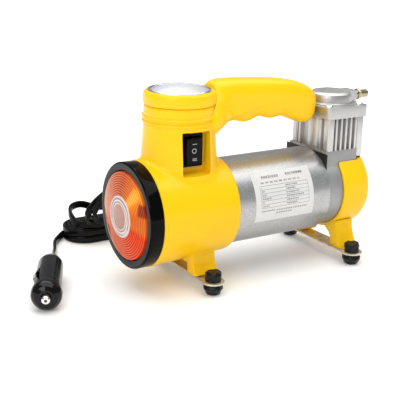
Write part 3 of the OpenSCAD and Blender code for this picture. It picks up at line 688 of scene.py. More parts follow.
def eased(node, width=0.8, segments=3, angle=32, name=None):
    """A copy of a CAD node with its corners rounded. It stands for the node."""
    source = frame["nodes"][node]
    piece = bpy.data.objects.new(name or node + "_eased", source.data.copy())
    bpy.context.collection.objects.link(piece)
    piece.data.materials.clear()
    editing(piece)
    bpy.ops.mesh.select_all(action="SELECT")
    bpy.ops.mesh.remove_doubles(threshold=2e-6)
    bpy.ops.mesh.select_all(action="SELECT")
    bpy.ops.mesh.dissolve_limited(angle_limit=math.radians(1.2))
    if piece.data.has_custom_normals:
        bpy.ops.mesh.customdata_custom_splitnormals_clear()
    bpy.ops.object.mode_set(mode="OBJECT")
    if width:
        applied(
            piece,
            "BEVEL",
            width=width * MM,
            segments=segments,
            limit_method="ANGLE",
            angle_limit=math.radians(angle),
            harden_normals=False,
        )
    smooth(piece, 40)
    finish(piece, None, node)
    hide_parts(node)
    return piece


def finish(piece, material, like):
    """Gives a piece its material and lets it ride on the body of the CAD node that it belongs to."""
    if material:
        piece.data.materials.clear()
        piece.data.materials.append(material)
    body = frame["nodes"][like]["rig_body"]
    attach(piece, body)
    return piece


def coated(material, *nodes):
    """Gives CAD nodes a material."""
    for node in nodes:
        data = frame["nodes"][node].data
        data.materials.clear()
        data.materials.append(material)


# ---- Camera and lead ----

# The camera's place and the way it looks, from the lamp's face in mm and in degrees
CAMERA_PLACE = (-268.26, -517.97, 240.35)
CAMERA_TURN = -32.0905
CAMERA_RISE = 16.9950
CAMERA_ROLL = 1.2319
CAMERA_LENS = 83.45


def add_camera():
    turn, rise, roll = (math.radians(a) for a in (CAMERA_TURN, CAMERA_RISE, CAMERA_ROLL))
    back = Vector((math.sin(turn) * math.cos(rise), -math.cos(turn) * math.cos(rise), math.sin(rise)))
    level = Vector((math.cos(turn), math.sin(turn), 0))
    above = back.cross(level)
    right = level * math.cos(roll) + above * math.sin(roll)
    up = above * math.cos(roll) - level * math.sin(roll)
    data = bpy.data.cameras.new("studio_camera")
    data.sensor_width = 36
    data.lens = CAMERA_LENS
    data.clip_start = 0.01
    camera = bpy.data.objects.new("studio_camera", data)
    bpy.context.collection.objects.link(camera)
    turned_axes = Matrix((right, up, back)).transposed().to_4x4()
    camera.matrix_world = Matrix.Translation(at(*CAMERA_PLACE)) @ turned_axes
    bpy.context.scene.camera = camera


# The lead from its gland down on to the hank, and from the hank to the plug, in mm
LEAD_DOWN = (
    (24, 54.9, 50), (24, 60, 49.4), (23.6, 68, 45.8), (21.4, 75, 40), (18, 79, 35),
    (15.6, 81.6, 30), (15.4, 83, 24.6), (19, 84.4, 20), (26, 85.6, 18.4), (35, 87, 20.4),
    (42, 89.4, 26), (43, 91, 33), (38, 89.6, 38.6), (30, 87.4, 40), (22, 85.4, 37.4),
    (15.4, 84.4, 32.6), (11.9, 85.6, 26.6), (11.7, 87.4, 21.6), (14.8, 89, 17.4),
    (22, 89.8, 15), (32, 90.2, 16),
    (40, 92, 18.2), (46, 98, 19.4), (47, 106, 19.6), (43, 112, 19.8), (36, 114.6, 20),
    (29.6, 115.6, 20.6), (24, 117, 22.6), (18.6, 117.2, 23.8), (11.3, 114, 23.7), (7.3, 109, 22.2),
    (6, 104, 19.8), (7, 99.5, 16.8), (10.4, 95.8, 14.6), (17, 93.6, 13.9), (27, 92.9, 13.84),
    (36, 92.4, 13.4), (44, 91.3, 12), (54, 89.9, 9.6), (64, 89.6, 8.5),
)  # fmt: skip
LEAD_OUT = (
    (36, 126.4, 2.8), (26, 125.8, 2.8), (14, 121, 2.8), (4.6, 115.2, 2.8), (-4.2, 106, 2.8),
    (-11, 96.5, 2.9), (-18, 80.5, 3.5), (-25, 66.5, 5.4), (-30.8, 55, 8.4), (-34.6, 47.5, 9.9),
    (-35.72, 45.1, 10.05),
)  # fmt: skip
HANK_Y = 107.2
HANK_END = 129.0
HANK_RADIUS = 18.4
LAYER_Z = (8.45, 2.8)
LAYER_START = (18.2, 18.6)


def hank_route():
    """The turns of the hank, as near run, right end, far run and left end, outer to inner and back."""
    pitch = sizes().lead_pitch
    radii = [HANK_RADIUS - pitch * i for i in range(4)]
    turns = [(r, 0) for r in radii] + [(r, 1) for r in reversed(radii)]
    points = []
    for number, (radius, layer) in enumerate(turns[:-1]):
        z = LAYER_Z[layer]
        start = LAYER_START[layer]
        if number:
            for i in range(1, 8):
                points.append((start + (HANK_END - start) * i / 8, HANK_Y - radius, z))
        else:
            points += [(x, HANK_Y - radius, z) for x in (78, 94, 112)]
        for i in range(13):
            a = math.pi * (i / 12 - 0.5)
            points.append((HANK_END + radius * math.cos(a), HANK_Y + radius * math.sin(a), z))
        after, next_layer = turns[number + 1]
        next_z, next_start = LAYER_Z[next_layer], LAYER_START[next_layer]
        last = number == len(turns) - 2
        stop = 8 if not last else 7
        for i in range(1, stop):
            t = i / 8
            s = t * t * (3 - 2 * t)
            points.append(
                (
                    HANK_END + (next_start - HANK_END) * t,
                    HANK_Y + radius + (after - radius) * s,
                    z + (next_z - z) * s,
                )
            )
        if not last:
            for i in range(13):
                a = math.pi * (0.5 + i / 12)
                points.append((next_start + after * math.cos(a), HANK_Y + after * math.sin(a), next_z))
    return points


def smooth_line(points, gap):
    """A smooth line through the points with a point about every gap millimetres."""
    p = [Vector(q) for q in points]
    line = []
    for i in range(len(p) - 1):
        a, b, c, d = p[max(i - 1, 0)], p[i], p[i + 1], p[min(i + 2, len(p) - 1)]
        steps = max(1, round((c - b).length / gap))
        for j in range(steps):
            t = j / steps
            line.append(
                0.5
                * (
                    2 * b
                    + (c - a) * t
                    + (2 * a - 5 * b + 4 * c - d) * t * t
                    + (3 * b - 3 * c + d - a) * t * t * t
                )
            )
    line.append(p[-1])
    return line


def twin_section():
    """The outline of two round cores side by side, with a shallow groove between them."""
    half = sizes().lead_width / 2
    core = 1.52
    corners = []
    for i in range(20):
        a = math.tau * (i + 0.5) / 20
        up = math.sin(a)
        side = math.cos(a)
        lobe = half - core
        x = core * side * (1 - 0.24 * math.exp(-((up * half / 0.85) ** 2)))
        corners.append((x, math.copysign(lobe * min(1.0, abs(up) * 1.6), up) + core * up))
    return corners


def swept(name, line, section):
    """A closed tube along the line. Its section stands on edge."""
    count = len(section)
    corners, faces = [], []
    for i, p in enumerate(line):
        ahead = (line[min(i + 1, len(line) - 1)] - line[max(i - 1, 0)]).normalized()
        side = ahead.cross(Vector((0, 0, 1))).normalized()
        up = side.cross(ahead)
        corners += [at(*(p + side * a + up * b)) for a, b in section]
    for i in range(len(line) - 1):
        for k in range(count):
            n = (k + 1) % count
            faces.append((i * count + k, i * count + n, (i + 1) * count + n, (i + 1) * count + k))
    faces.append(tuple(range(count - 1, -1, -1)))
    faces.append(tuple((len(line) - 1) * count + k for k in range(count)))
    mesh = bpy.data.meshes.new(name)
    mesh.from_pydata([tuple(c) for c in corners], [], faces)
    piece = bpy.data.objects.new(name, mesh)
    bpy.context.collection.objects.link(piece)
    editing(piece)
    bpy.ops.mesh.select_all(action="SELECT")
    bpy.ops.mesh.normals_make_consistent(inside=False)
    bpy.ops.object.mode_set(mode="OBJECT")
    return piece


class INFLATOR_OT_lead(bpy.types.Operator):
    """Lays the flat twin lead from its gland over the hank and on to the plug"""

    bl_idname = "inflator.lead"
    bl_label = "Lead"

    def execute(self, context):
        line = smooth_line(list(LEAD_DOWN) + hank_route() + list(LEAD_OUT), 2.4)
        lead = swept("lead_cable", line, twin_section())
        smooth(lead, 60)
        finish(lead, lead_finish(), "cord_coil")
        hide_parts("cord_lead", "cord_coil", "cord_tail")
        tie = outlined("tie_core", [at(70, HANK_Y + y, z) for y, z in tie_outline()])
        tie = tie_band(tie)
        gland = gland_piece()
        length = sum((b - a).length for a, b in zip(line, line[1:])) * MM
        print(f"lead {length:.3f} m, {len(line)} rings")
        tuple(at(*line[0]))
        [tuple(at(*p)) for p in line]
        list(plug_extras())
        return {"FINISHED"}


def tie_outline():
    """Half sizes of the hank's section with rounded corners, about the hank's middle."""
    half_y, low, high, r = 20.4, 0.75, 11.7, 2.6
    points = []
    for cy, cz, start in (
        (half_y - r, high - r, 0), (-half_y + r, high - r, 90),
        (-half_y + r, low + r, 180), (half_y - r, low + r, 270),
    ):  # fmt: skip
        for i in range(7):
            a = math.radians(start + 15 * i)
            points.append((cy + r * math.cos(a), cz + r * math.sin(a)))
    return points


def tie_band(tie):
    """A wide rubber band round the hank."""
    editing(tie, "FACE")
    bpy.ops.mesh.select_all(action="SELECT")
    bpy.ops.mesh.extrude_region_move(TRANSFORM_OT_translate={"value": (7 * MM, 0, 0)})
    bpy.ops.mesh.select_all(action="DESELECT")
    select(tie, lambda f: abs(f.normal.x) > 0.9, "faces")
    bpy.ops.mesh.delete(type="ONLY_FACE")
    bpy.ops.mesh.select_all(action="SELECT")
    bpy.ops.mesh.normals_make_consistent(inside=False)
    bpy.ops.object.mode_set(mode="OBJECT")
    applied(tie, "SOLIDIFY", thickness=0.7 * MM, offset=1.0)
    applied(tie, "BEVEL", width=0.25 * MM, segments=2, limit_method="ANGLE", angle_limit=math.radians(50))
    smooth(named(tie, "hank_tie"), 50)
    return finish(tie, rubbery("tie_rubber", (0.02, 0.02, 0.022, 1), 0.45), "cord_coil")


def gland_piece():
    """The strain relief, with its grooves, standing for its CAD node."""
    gland = eased("cord_gland", 0.25, 2, 40, "gland_boot")
    gland.data.materials.append(rubbery("gland_rubber", colours().black, 0.42, 0.03))
    return gland


# ---- Plug ----


def plug_axes():
    """The plug's nose, the way it points back from the nose, and its two cross directions."""
    nose = at(-63.81, -13.05, 10.05)
    back = Vector((0.4352, 0.9003, 0))
    return nose, back, Vector((0, 0, 1)), Vector((0.9003, -0.4352, 0))


def plug_extras():
    """The nose ring, and the fine ribbed collar behind it."""
    nose, back, up, side = plug_axes()
    collar = turned(
        "plug_collar",
        [(8.6, 8.9), (9.15, 9.1), (9.25, 9.6), (9.25, 13.6), (9.1, 14.1), (8.6, 14.3)],
        nose,
        back,
        160,
    )
    editing(collar, "FACE")
    middle = nose + back * 11.6 * MM

    def rib(face):
        place = face.calc_center_median() - middle
        if abs(place.dot(back)) > 2.2 * MM or place.length < 9.0 * MM:
            return False
        angle = math.atan2(place.dot(up), place.dot(side))
        return int(round(angle / math.tau * 160)) % 4 < 2

    select(collar, rib, "faces")
    bpy.ops.mesh.extrude_region_shrink_fatten(TRANSFORM_OT_shrink_fatten={"value": -0.3 * MM})
    bpy.ops.object.mode_set(mode="OBJECT")
    smooth(collar, 30)
    finish(collar, moulded("plug_collar_black", colours().black, 0.3, 0.2), "plug_body")
    ring = eased("plug_nose_ring", 0.35, 3, 20, "nose_ring")
    gloss = moulded("plug_gloss", shade(colours().black, 0.6), 0.09, 0.0, 0.006, 0.05, 0.26)
    ring.data.materials.append(gloss)
    return [collar, ring]


class INFLATOR_OT_plug(bpy.types.Operator):
    """Finishes the lighter plug's body, tip, contacts and fuse"""

    bl_idname = "inflator.plug"
    bl_label = "Plug"

    def execute(self, context):
        coated(moulded("plug_satin", shade(colours().black, 0.9), 0.2, 0.0, 0.01, 0.1, 0.22), "plug_body")
        bright = metal("plug_nickel", (0.78, 0.76, 0.72, 1), 0.16, 1.0, 0.006)
        coated(bright, "plug_contact_left", "plug_contact_right", "plug_tip_spring")
        coated(self.tip_finish(), "plug_tip")
        coated(clear_finish("fuse_glass", (0.9, 0.95, 0.95, 1), 0.08, 0.4), "plug_fuse")
        return {"FINISHED"}

    def tip_finish(self):
        """Bright nickel, with painted shade standing for a small dark hole in the end."""
        f = Finish("tip_nickel")
        nose, back, up, side = plug_axes()
        x, y, z = f.xyz()
        nose = nose / MM
        across = (x - (nose.x + MIDDLE)) * side.x + (y - nose.y) * side.y
        radius = (across * across + (z - nose.z) * (z - nose.z)).root()
        # Painted shade for the small hole in the tip's end
        painted_hole_shade = 1 - radius.ramp(0.8, 1.3)
        clouds = f.noise(3, 2.0)
        base = f.mixed(painted_hole_shade * 0.93, (0.82, 0.8, 0.76, 1), (0.02, 0.02, 0.02, 1))
        return f.surface(Base_Color=base, Metallic=0.95, Roughness=0.18 + (clouds - 0.5) * 0.1)


# ---- Shell ----


class INFLATOR_OT_front(bpy.types.Operator):
    """Models the front housing: sleeve, gauge column and bracket in one blended shell"""

    bl_idname = "inflator.front"
    bl_label = "Front housing"

    def execute(self, context):
        axis = at(0, 0, AXIS_Z)
        sleeve = turned(
            "sleeve",
            [
                (0, 9), (35.0, 9), (35.9, 9.8), (35.8, 12.4), (34.2, 56), (33.6, 66.6),
                (33.3, 68.2), (32.4, 69), (0, 69),
            ],  # fmt: skip
            axis,
            (1, 0, 0),
            closed=False,
        )
        column = turned(
            "column",
            [
                (0, 45), (26.8, 45), (25.8, 84), (24.8, 98), (24.1, 109), (24.0, 117),
                (23.9, 123.1), (0, 123.1),
            ],  # fmt: skip
            at(COLUMN_X, 0, 0),
            (0, 0, 1),
            closed=False,
        )
        profile = ((-21.4, 30), (-23.6, 17), (-27.4, 9.1), (27.4, 9.1), (23.6, 17), (21.4, 30))
        bracket = outlined("bracket", [at(37, y, z) for y, z in profile])
        editing(bracket, "FACE")
        bpy.ops.mesh.select_all(action="SELECT")
        bpy.ops.mesh.extrude_region_move(TRANSFORM_OT_translate={"value": (18.5 * MM, 0, 0)})
        bpy.ops.mesh.select_all(action="SELECT")
        bpy.ops.mesh.normals_make_consistent(inside=False)
        bpy.ops.object.mode_set(mode="OBJECT")
        shell = joined([sleeve, column, bracket], "front_shell")
        applied(shell, "REMESH", mode="VOXEL", voxel_size=sizes().voxel * MM)
        self.soften(shell)
        cut(shell, rod("bore", at(-5, 0, AXIS_Z), at(40.5, 0, AXIS_Z), 31.6, 128))
        cut(shell, rod("bore", at(40, 0, AXIS_Z), at(90, 0, AXIS_Z), 30.4, 128))
        well = rod("well", at(COLUMN_X, 0, 86), at(COLUMN_X, 0, 130), 21.9, 96)
        cut(well, block("pocket", at(27, -26, 79), at(51.2, -13, 111.6)))
        cut(shell, well)
        recess = block("recess", at(28.5, -30, 78.9), at(49.5, -14.7, 107.8))
        applied(recess, "BEVEL", width=1.0 * MM, segments=3)
        cut(shell, recess)
        cut(shell, block("slot", at(32.3, -20, 85), at(45.7, -10, 104.4)))
        cut(shell, block("tunnel", at(36, -17, 8), at(56.5, 17, 16.8)))
        hole = rod("hole", at(24, 30, AXIS_Z - 0.9), at(24, 40, AXIS_Z - 0.9), 4.6)
        cut(shell, hole)
        beads = [self.bead(z) for z in BEAD_Z]
        lip = turned(
            "lip",
            [(31.7, 8.5), (35.3, 8.5), (36.05, 9.1), (36.1, 10.6), (35.7, 12.0), (34.6, 12.6), (31.7, 12.6)],
            axis,
            (1, 0, 0),
        )
        shell = joined([shell, *beads, lip], "front_shell")
        smooth(shell, 30)
        finish(shell, moulded("shell_yellow", colours().shell, 0.3, 0.06, 0.01, 0.02, 0.2), "front_housing")
        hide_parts("front_housing")
        return {"FINISHED"}

    def soften(self, shell):
        """Rounds the corner between column and sleeve, and the bracket's root."""
        editing(shell)

        def root(v):
            p = v.co / MM
            x, y, z = p.x + MIDDLE, p.y, p.z
            from_column = abs(math.hypot(x - COLUMN_X, y) - 24.6)
            from_sleeve = abs(math.hypot(y, z - AXIS_Z) - 34.2)
            return z > 60 and from_column < 5.5 and from_sleeve < 5.5

        select(shell, root)
        bpy.ops.mesh.vertices_smooth(factor=0.5, repeat=26)
        bpy.ops.mesh.select_all(action="SELECT")
        bpy.ops.mesh.vertices_smooth(factor=0.5, repeat=4)
        bpy.ops.object.mode_set(mode="OBJECT")

    def bead(self, z):
        clear_selection()
        bpy.ops.mesh.primitive_torus_add(
            major_segments=96,
            minor_segments=10,
            location=tuple(at(COLUMN_X, 0, z)),
            major_radius=23.85 * MM,
            minor_radius=1.15 * MM,
        )
        return settled(bpy.context.object)


HANDLE_SIDE = (
    (45, 98.5), (53, 98), (58.5, 98), (62.4, 99.8), (66, 102.6), (70, 105.4), (74, 107.8),
    (77.4, 108.3), (81, 107.6), (85, 106.3), (88.5, 106.2), (92.5, 107.4), (96.5, 109),
    (100.2, 109.6), (104, 107.8), (108, 106.8), (112.5, 107), (117, 108.2), (121, 107.2),
    (127, 104.4), (134, 101.7), (139, 101), (143.6, 102), (147, 106.2), (148.4, 113),
    (148, 119.5), (145.4, 125), (138, 129.8), (129.5, 132.2), (121, 133.6), (113, 134.5),
    (105.5, 135.1), (98, 135.6), (90.5, 136), (83, 136.4), (76, 136.7), (70, 136.6),
    (66, 135.8), (63, 133.8), (60.6, 130.4), (45, 127.4),
)  # fmt: skip
# Each step inwards from the outline, and how far out from the middle it then is
HANDLE_STEPS = ((0.0, -6), (0.0, 4.2), (0.5, 7.4), (1.5, 9.6), (2.2, 11.1), (3.0, 12.0), (4.5, 12.5))


class INFLATOR_OT_handle(bpy.types.Operator):
    """Models the handle's two halves, rounded and scalloped, with the seam between them"""

    bl_idname = "inflator.handle"
    bl_label = "Handle"

    def execute(self, context):
        yellow = bpy.data.materials["shell_yellow"]
        for side, node, name in ((1, "handle_left", "grip_left"), (-1, "handle_right", "grip_right")):
            half = outlined(name, [at(x, -14 * side, z) for x, z in HANDLE_SIDE])
            editing(half, "FACE")
            bpy.ops.mesh.select_all(action="SELECT")
            done = -14
            for inward, out in HANDLE_STEPS:
                bpy.ops.mesh.extrude_region_move(
                    TRANSFORM_OT_translate={"value": (0, (out - done) * side * MM, 0)}
                )
                if inward:
                    self.shrink(half, inward)
                done = out
            bpy.ops.mesh.select_all(action="SELECT")
            bpy.ops.mesh.normals_make_consistent(inside=False)
            bpy.ops.object.mode_set(mode="OBJECT")
            applied(half, "SUBSURF", levels=2, render_levels=2)
            self.flare(half)
            applied(half, "REMESH", mode="VOXEL", voxel_size=0.75 * MM)
            editing(half)
            bpy.ops.mesh.select_all(action="SELECT")
            bpy.ops.mesh.vertices_smooth(factor=0.5, repeat=6)
            bpy.ops.object.mode_set(mode="OBJECT")
            ends = sorted((0.02 * side, -20 * side))
            cut(half, block("seam", at(40, ends[0], 80), at(160, ends[1], 150)))
            cut(half, rod("around", at(COLUMN_X, 0, 80), at(COLUMN_X, 0, 140), 24.1, 128))
            smooth(half, 40)
            finish(half, yellow, node)
            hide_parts(node)
        return {"FINISHED"}

    def shrink(self, half, inward):
        """Moves the selected side face's corners inwards along the outline."""
        data = bmesh.from_edit_mesh(half.data)
        face = [f for f in data.faces if f.select][0]
        corners = list(face.verts)
        moved = []
        for i, v in enumerate(corners):
            a, b = corners[i - 1].co, corners[(i + 1) % len(corners)].co
            along = (b - a).normalized()
            inner = face.normal.cross(along).normalized()
            moved.append(v.co + inner * inward * MM)
        for v, place in zip(corners, moved):
            v.co = place
        bmesh.update_edit_mesh(half.data)

    def flare(self, half):
        """Widens the neck where it wraps the column."""
        for v in half.data.vertices:
            x = v.co.x / MM + MIDDLE
            z = v.co.z / MM
            t = min(1.0, max(0.0, (74 - x) / 20))
            rise = min(1.0, max(0.0, (z - 98) / 11))
            under = min(1.0, max(0.0, (129 - z) / 14))
            v.co.y *= 1 + 0.85 * t * t * (3 - 2 * t) * rise * under


class INFLATOR_OT_shell_parts(bpy.types.Operator):
    """Colours the cap and the housing screws, and rounds the rear cover, head screws, strips and feet"""

    bl_idname = "inflator.shell_parts"
    bl_label = "Cap, rear cover and feet"

    def execute(self, context):
        yellow = bpy.data.materials["shell_yellow"]
        coated(yellow, "column_cap")
        rear = eased("rear_cover", sizes().edge, 3, 34, "rear_shell")
        rear.data.materials.append(yellow)
        strips = eased("foot_strips", 0.2, 2, 40, "cross_strips")
        strips.data.materials.append(strip_finish())
        rubber = rubbery("foot_rubber", shade(colours().black, 0.8), 0.34, 0.06)
        feet = eased("rubber_feet", 0, 1, 30, "floor_feet")
        applied(feet, "REMESH", mode="VOXEL", voxel_size=0.55 * MM)
        for v in feet.data.vertices:
            lump = noise.noise(v.co * 420) + 0.5 * noise.noise(v.co * 900)
            free = min(1.0, v.co.z / MM / 2)
            v.co += v.normal * (0.75 * lump - 0.25) * MM * free
        editing(feet)
        bpy.ops.mesh.select_all(action="SELECT")
        bpy.ops.mesh.vertices_smooth(factor=0.5, repeat=2)
        bpy.ops.object.mode_set(mode="OBJECT")
        smooth(feet, 60)
        feet.data.materials.append(rubber)
        steel = metal("screw_zinc", (0.66, 0.66, 0.67, 1), 0.3, 1.0, 0.01)
        coated(steel, "housing_screws")
        heads = eased("head_screws", 0.12, 2, 40, "head_bolts")
        heads.data.materials.append(metal("screw_chrome", (0.82, 0.82, 0.83, 1), 0.16, 1.0, 0.008))
        return {"FINISHED"}


# ---- Lamp ----


class INFLATOR_OT_lamp(bpy.types.Operator):
    """Models the lamp's ring, its ringed lens and the clear middle"""

    bl_idname = "inflator.lamp"
    bl_label = "Lamp"

    def execute(self, context):
        ring = eased("lamp_ring", 0.5, 3, 30, "lamp_rim")
        ring.data.materials.append(self.rim_finish())
        for v in ring.data.vertices:
            ahead = min(1.0, max(0.0, (6 - v.co.x / MM - MIDDLE) / 5))
            up = (v.co.z - AXIS_Z * MM) * RIM_WIDER + AXIS_Z * MM
            v.co = Vector((v.co.x - RIM_AHEAD * MM * ahead, v.co.y * RIM_WIDER, up))
        axis = at(0, 0, AXIS_Z)
        count = sizes().lens_rings
        inner, outer, rim_x, rise = 14.25, 29.6, -2.0, 4.4
        sphere = (outer * outer + rise * rise) / (2 * rise)

        def dome(r):
            return rim_x - rise + sphere - math.sqrt(sphere * sphere - r * r)

        front = []
        for i in range(count):
            a = inner + (outer - inner) * i / count
            b = inner + (outer - inner) * (i + 1) / count
            for t, lift in ((0.04, 0.34), (0.2, 0.1), (0.5, 0.0), (0.8, 0.08), (0.96, 0.32)):
                r = a + (b - a) * t
                front.append((r, dome(r) + lift))
        back = [(r, dome(r) + 1.8) for r in (29.5, 25, 20, inner)]
        section = [*front, (29.65, -1.5), (29.65, 5.9), (27.9, 5.9), *back]
        lens = turned("lamp_dome", section, axis, (1, 0, 0), 160)
        smooth(lens, 50)
        finish(lens, lens_finish(), "lamp_lens")
        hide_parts("lamp_lens")
        middle = [(0, dome(0))]
        for r, lift in (
            (7.8, 0), (8.4, 0.25), (8.9, 0), (9.4, 0.3), (9.8, 0.4), (10.4, 0.1), (10.9, 0.0),
            (11.6, 0.35), (12.2, 0.4), (13.0, 0.05), (13.6, -0.05), (14.15, 0.3),
        ):  # fmt: skip
            middle.append((r, dome(r) + lift))
        middle += [(14.15, dome(14.15) + 1.8), (0, dome(0) + 1.8)]
        center = turned("lamp_bullseye", middle, axis, (1, 0, 0), 128, closed=False)
        smooth(center, 45)
        finish(center, lens_center_finish(), "lamp_lens_center")
        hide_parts("lamp_lens_center")
        coated(metal("reflector_bright", (0.85, 0.85, 0.85, 1), 0.1, 1.0, 0.004), "lamp_reflector")
        coated(clear_finish("bulb_glass", (0.95, 0.95, 0.92, 1), 0.06, 0.5), "lamp_bulbs")
        return {"FINISHED"}

    def rim_finish(self):
        """Gloss black round the side, and a duller moulded face in front."""
        f = Finish("rim_black")
        x, y, z = f.xyz()
        fine = f.noise(0.8, 2.0)
        clouds = f.noise(16, 2.0)
        radius = (y * y + (z - AXIS_Z) * (z - AXIS_Z)).root()
        face = (1 - x.ramp(0.5, 1.0)) * (1 - radius.ramp(34.0, 34.6))
        base = f.mixed(face, shade(colours().black, 0.4), (0.052, 0.053, 0.055, 1))
        rough = 0.1 + face * 0.34 + (clouds - 0.5) * 0.06
        return f.surface(
            Base_Color=base, Roughness=rough, Specular_IOR_Level=0.08, Normal=f.bumped(fine, 0.008, 0.5)
        )


# ---- Gauge and switch ----


class INFLATOR_OT_gauge(bpy.types.Operator):
    """Finishes the gauge on the column and the rocker switch in its side"""

    bl_idname = "inflator.gauge"
    bl_label = "Gauge and switch"

    def execute(self, context):
        bezel = eased("gauge_bezel", 0.2, 2, 30, "gauge_rim")
        bezel.data.materials.append(metal("bezel_steel", (0.78, 0.78, 0.82, 1), 0.24, 1.0, 0.005))
        coated(metal("gauge_steel", (0.55, 0.55, 0.57, 1), 0.35), "gauge_case")
        coated(dial_finish(), "gauge_dial")
        coated(moulded("needle_black", colours().black, 0.35, 0.0), "gauge_needle")
        low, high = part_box("gauge_glass")
        radius = (high.x - low.x) / 2 / MM
        rise, edge = GLASS_RISE, GLASS_EDGE_Z
        sphere = (radius * radius + rise * rise) / (2 * rise)
        bow = [
            (r, edge + rise - sphere + math.sqrt(sphere * sphere - r * r))
            for r in range(0, int(radius) + 1, 2)
        ]
        under = [(r, z - 1.2) for r, z in reversed(bow)]
        glass = turned(
            "gauge_crystal",
            [*bow, (radius, edge), (radius, low.z / MM + 0.1), (radius - 1, low.z / MM + 0.1), *under],
            at(COLUMN_X, 0, 0),
            (0, 0, 1),
            closed=False,
        )
        smooth(glass, 40)
        finish(glass, clear_finish("gauge_window", (0.9, 0.9, 0.95, 1), 0.1, 0.45), "gauge_glass")
        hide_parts("gauge_glass")
        coated(metal("gauge_brass", (0.72, 0.55, 0.28, 1), 0.3), "gauge_movement")
        coated(rubbery("pipe_rubber", colours().black, 0.5), "gauge_pipe")
        body = eased("switch_body", 0.35, 2, 40, "switch_frame")
        matt = moulded("switch_black", shade(colours().black, 0.8), 0.34, 0.0, 0.01, 0.05, 0.1)
        body.data.materials.append(matt)
        rocker = eased("switch_rocker", 0.45, 3, 30, "switch_paddle")
        rocker.data.materials.append(rocker_finish())
        return {"FINISHED"}


# ---- Motor and compressor ----


class INFLATOR_OT_motor(bpy.types.Operator):
    """Finishes the motor can, its label and what turns inside it"""

    bl_idname = "inflator.motor"
    bl_label = "Motor"

    def execute(self, context):
        coated(silver_can(), "motor_can")
        coated(label_finish(), "rating_label")
        steel = metal("ground_steel", (0.6, 0.6, 0.62, 1), 0.24, 1.0, 0.008)
        coated(steel, "motor_shaft", "shaft_bearings", "crank_disc", "crank_pin", "rod_bearing", "wrist_pin")
        stack = metal("lamination_steel", (0.32, 0.33, 0.35, 1), 0.42, 1.0, 0.03, 0.6, (6, 1, 1))
        coated(stack, "armature_core")
        wire = metal("enamelled_copper", (0.62, 0.25, 0.1, 1), 0.3, 0.9, 0.05, 0.7, (0.4, 3, 3))
        coated(wire, "armature_windings")
        coated(metal("bar_copper", (0.7, 0.34, 0.18, 1), 0.28, 1.0, 0.01), "commutator")
        coated(rubbery("ferrite", (0.03, 0.03, 0.032, 1), 0.6, 0.05), "field_magnets", "carbon_brushes")
        coated(moulded("phenolic_brown", (0.12, 0.05, 0.02, 1), 0.4, 0.1), "brush_end_cap")
        return {"FINISHED"}


class INFLATOR_OT_compressor(bpy.types.Operator):
    """Rounds and finishes the crankcase, the finned block, the head and the outlet"""

    bl_idname = "inflator.compressor"
    bl_label = "Compressor"

    def execute(self, context):
        block = eased("cylinder_block", 0.3, 2, 34, "finned_block")
        block.data.materials.append(metal("cast_silver", colours().casting, 0.4, 0.8, 0.03, 1.0))
        case = eased("crankcase", 0.5, 2, 34, "crankcase_casting")
        case.data.materials.append(metal("case_silver", shade(colours().can, 0.8), 0.5, 0.7, 0.03, 1.0))
        head = eased("cylinder_head", 0.5, 3, 28, "head_casting")
        head.data.materials.append(metal("head_silver", shade(colours().casting, 0.85), 0.42, 0.9, 0.02, 0.9))
        coated(moulded("plate_black", shade(colours().black, 2.0), 0.4, 0.0), "motor_plate")
        nipple = eased("outlet_nipple", 0.2, 2, 30, "outlet_tube")
        nipple.data.materials.append(metal("pale_brass", (0.42, 0.36, 0.23, 1), 0.26, 1.0, 0.01))
        coated(rubbery("gasket_fibre", (0.08, 0.08, 0.08, 1), 0.7), "head_gasket")
        coated(metal("valve_steel", (0.6, 0.62, 0.66, 1), 0.22), "valve_plate", "outlet_reed")
        coated(metal("piston_alloy", (0.62, 0.62, 0.62, 1), 0.35), "piston", "connecting_rod")
        coated(moulded("seal_white", (0.8, 0.77, 0.7, 1), 0.5, 0.0), "piston_seal")
        return {"FINISHED"}


# ---- Studio ----


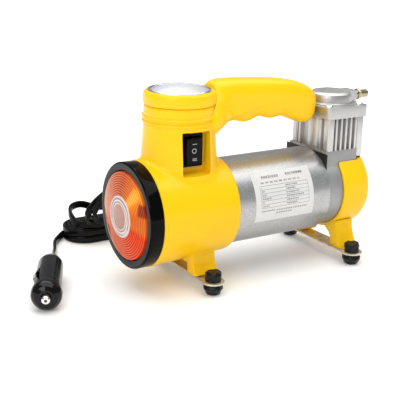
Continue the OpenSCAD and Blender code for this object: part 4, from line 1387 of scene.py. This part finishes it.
class INFLATOR_OT_studio(bpy.types.Operator):
    """Lays the pale floor and hangs the soft lights"""

    bl_idname = "inflator.studio"
    bl_label = "Studio"

    def execute(self, context):
        clear_selection()
        bpy.ops.mesh.primitive_plane_add(size=FLOOR_SIZE, location=(0, 0, -0.0002))
        floor = named(bpy.context.object, "studio_floor")
        f = Finish("floor_paper")
        clouds = f.noise(300, 2.0)
        x, y, z = f.xyz()
        far = ((x - MIDDLE) * (x - MIDDLE) + y * y).root().ramp(300, 900)
        base = f.mixed(clouds, shade(colours().floor, 0.99), shade(colours().floor, 1.01))
        # The floor glows as painted light: faintly near the inflator, which lifts its shadows and lights it
        # from below, and fully from 300 to 900 mm out, so that the far floor is evenly white.
        glow = f.mixed(far, (0.13, 0.13, 0.13, 1), (1, 1, 1, 1))
        floor.data.materials.append(
            f.surface(Base_Color=base, Roughness=0.6, Emission_Color=glow, Emission_Strength=0.9)
        )
        settled(floor)
        self.lamp("top_softbox", (0.1, 0.1, 1.3), (0, 0, 0.05), (2.2, 1.8), 29)
        self.lamp("left_softbox", (-1.1, -0.75, 0.85), (0, 0, 0.06), (0.8, 0.8), 7)
        world = bpy.data.worlds.new("studio_light")
        world.use_nodes = True
        background = world.node_tree.nodes["Background"]
        background.inputs[0].default_value = (0.97, 0.98, 1.0, 1)
        background.inputs[1].default_value = 0.32
        bpy.context.scene.world = world
        bpy.context.scene.view_settings.view_transform = "Standard"
        return {"FINISHED"}

    def lamp(self, name, place, target, size, power):
        data = bpy.data.lights.new(name, "AREA")
        data.shape = "RECTANGLE"
        data.size, data.size_y = size
        data.energy = power
        light = bpy.data.objects.new(name, data)
        bpy.context.collection.objects.link(light)
        light.location = place
        light.rotation_euler = (Vector(target) - Vector(place)).to_track_quat("-Z", "Y").to_euler()


# ---- Panel and run ----

OPERATORS = (
    INFLATOR_OT_lead,
    INFLATOR_OT_plug,
    INFLATOR_OT_front,
    INFLATOR_OT_handle,
    INFLATOR_OT_shell_parts,
    INFLATOR_OT_lamp,
    INFLATOR_OT_gauge,
    INFLATOR_OT_motor,
    INFLATOR_OT_compressor,
    INFLATOR_OT_studio,
)


class INFLATOR_PT_panel(bpy.types.Panel):
    """Sizes, colours and the pieces of the inflator"""

    bl_idname = "INFLATOR_PT_panel"
    bl_label = "Tire inflator"
    bl_space_type = "VIEW_3D"
    bl_region_type = "UI"
    bl_category = "Inflator"

    def draw(self, context):
        layout = self.layout
        for group in (context.scene.inflator_sizes, context.scene.inflator_colours):
            for name in group.__annotations__:
                layout.prop(group, name)
        for operator in OPERATORS:
            layout.operator(operator.bl_idname)


CLASSES = (InflatorSizes, InflatorColours, *OPERATORS, INFLATOR_PT_panel)


def register():
    for cls in CLASSES:
        bpy.utils.register_class(cls)
    bpy.types.Scene.inflator_sizes = bpy.props.PointerProperty(type=InflatorSizes)
    bpy.types.Scene.inflator_colours = bpy.props.PointerProperty(type=InflatorColours)


def unregister():
    del bpy.types.Scene.inflator_colours
    del bpy.types.Scene.inflator_sizes
    for cls in reversed(CLASSES):
        bpy.utils.unregister_class(cls)


def main():
    register()
    add_camera()
    for operator in OPERATORS:
        getattr(bpy.ops.inflator, operator.bl_idname.split(".")[1])()


if __name__ == "__main__":
    main()
